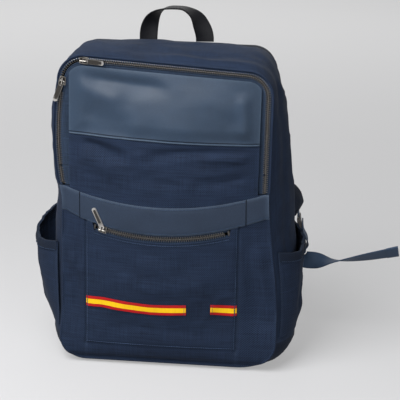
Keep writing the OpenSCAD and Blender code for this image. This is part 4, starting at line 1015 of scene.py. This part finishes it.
strap("lower_webbing_left_cloth", L_LOWER, [V(0.8, 0, 0.6), V(0.9, 0, 0.3), L_WIDE], "lower_webbing_left")
for name, end, buckle, lean, way in (("right", R_END, R_BUCKLE, R_LEAN, Y), ("left", L_END, L_BUCKLE, L_LEAN, L_WIDE)):
    top, low = end + down(lean) * 1.5, buckle - down(lean) * 15
    strap("buckle_loop_cloth_" + name, [top, (top + low) / 2, low], [way] * 3, "buckle_loop_" + name)
for name, marks, sides in (("right", R_TAIL, R_TAIL_SIDES), ("left", L_TAIL, L_TAIL_SIDES)):
    ob, path, side = strap("webbing_tail_cloth_" + name, marks, sides, "webbing_tail_" + name)
    fold = add("webbing_tail_fold_" + name, [loft(path[-5:], side[-5:], flat_section(25.4, 3.6))], webbing)

for s, side in SIDES:
    a, b = np.meshgrid(np.linspace(0, 1, 12), np.linspace(0, 0.98, 12), indexing="ij")
    P = points(s * (130 - 40 * a * (1 - b)), 74.4, 27 + 40 * b)
    sheet("strap_anchor_cloth_" + side, P, 2.2, navy_base, "strap_anchor_" + side, uv=P[..., [0, 2]])

# Haul handle
a = np.linspace(np.pi, 0, 61)
c, s = np.cos(a), np.sin(a)
arch = np.sign(c) * np.abs(c) ** np.where(c < 0, 0.74, 0.86)
path = points(39.5 * arch - 3 * S(2 * s) * S(2 * c), 68.0, 431.8 + 46 * s ** 0.78)
side = points(np.abs(c), 1.2 * s, 0)
loop = loft(path, side, flat_section(WEBBING_W, 2.2))
handle = add("haul_handle_webbing", [loop], webbing_dark, "haul_handle", None)
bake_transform(handle)

# Laptop sleeve: three padded walls inside the back, with a bound mouth
SLEEVE_LOW, SLEEVE_TALL = 27, 270
half = [V(122, 63.8, 0), V(122, 50, 0), V(122, 40.5, 0), V(119.5, 38, 0), V(60, 36.8, 0)]
path = route([p * V(-1, 1, 1) for p in half] + [V(0, 36.4, 0)] + half[::-1], 4)
sag = -1.2 * S((40 - path[:, 1:2]) / 3) * Y
k = np.linspace(0, 1, 30)[None, :, None]
P = path[:, None] + Z * (SLEEVE_LOW + SLEEVE_TALL * k) + sag[:, None] * np.sin(k * np.pi)
sheet("laptop_sleeve_cloth", P, 3.0, inside, "laptop_sleeve", centre=V(0, 70, 160))
add("laptop_sleeve_binding", [loft(P[:, -1] + Y * 1.5, Y, circle(2.2))], navy_base)

# Hard pieces keep their CAD shape and get better materials
FINISHES = (("buckle", plastic), ("slider", slider_metal), ("stop", dark_metal), ("", gunmetal))
for name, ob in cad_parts.items():
    if not ob.hide_render:
        ob.data.materials.clear()
        ob.data.materials.append(next(mat for word, mat in FINISHES if word in name))

# The paper has its own pale colour. Over it lies painted light, a glow that the camera and reflections alone see,
# stronger far away; towards the right it dims as painted shade
g = Graph("sweep_paper")
c, x, _ = g.coords("Object")
ray = g.node("LightPath").outputs
seen = g.math("MAXIMUM", ray["Is Camera Ray"], g.math("MAXIMUM", ray["Is Glossy Ray"], ray["Is Transmission Ray"]))
reach = g.node("VectorMath", {"Vector": c}, operation="LENGTH").outputs["Value"]
# Painted light: the glow grows stronger far from the bag
far = g.node("MapRange", {"Value": reach, "From Min": 0.5, "From Max": 3.2, "To Min": 0.37, "To Max": 0.55},
    interpolation_type="SMOOTHSTEP")
# Painted shade: the glow dims towards the right of the stage
aside = g.node("MapRange", {"Value": x, "From Min": -0.8, "From Max": 0.9, "To Min": 0.02, "To Max": -0.05})
painted_glow = g.math("ADD", far.outputs[0], aside.outputs[0])
colour = g.tint((146, 146, 148), g.vary(1.0, (g.noise(c, 3.0), 0.05)))
paper = g.done(colour, 0.9, None, Specular_IOR_Level=0.1, Emission_Color=(1, 1, 1, 1),
    Emission_Strength=g.math("MULTIPLY", seen, painted_glow))

# Stage: a wide round bowl of paper, open above, so every side of the bag can be seen against it
FLOOR_R, CURVE_R, WALL_TOP = 4000, 1500, 4000
bend = np.linspace(0, np.pi / 2, 13)[1:]
radii = np.r_[10, 400, 800, 1200, 1800, 2400, 3200, FLOOR_R, FLOOR_R + CURVE_R * np.sin(bend), FLOOR_R + CURVE_R]
heights = np.r_[np.zeros(8), CURVE_R * (1 - np.cos(bend)), WALL_TOP]
turns = np.linspace(2 * np.pi, 0, 96, endpoint=False)
P = points(radii[:, None] * np.cos(turns), radii[:, None] * np.sin(turns), heights[:, None])
build("sweep", P.reshape(-1, 3), ring_faces(*P.shape[:2])[:-1], paper, body=None)

scene.world = world = bpy.data.worlds.new("world")
world.use_nodes = True
sky = world.node_tree.nodes["Background"].inputs
sky["Color"].default_value, sky["Strength"].default_value = (1, 1, 1, 1), 0.22


def lamp(name, place, aim, size, power):
    data = bpy.data.lights.new(name, "AREA")
    data.size, data.energy = size, power
    ob = bpy.data.objects.new(name, data)
    ob.location = place
    ob.rotation_euler = (Vector(aim) - Vector(place)).to_track_quat("-Z", "Y").to_euler()
    scene.collection.objects.link(ob)


lamp("key", (-0.56, -0.92, 1.4), (0, 0, 0.3), size=1.25, power=46)
lamp("back", (-0.3, 2.6, 2.2), (0, 0, 0.25), size=2.2, power=18)
lamp("fill", (1.5, -2.4, 1.2), (0, 0, 0.35), size=1.6, power=26)
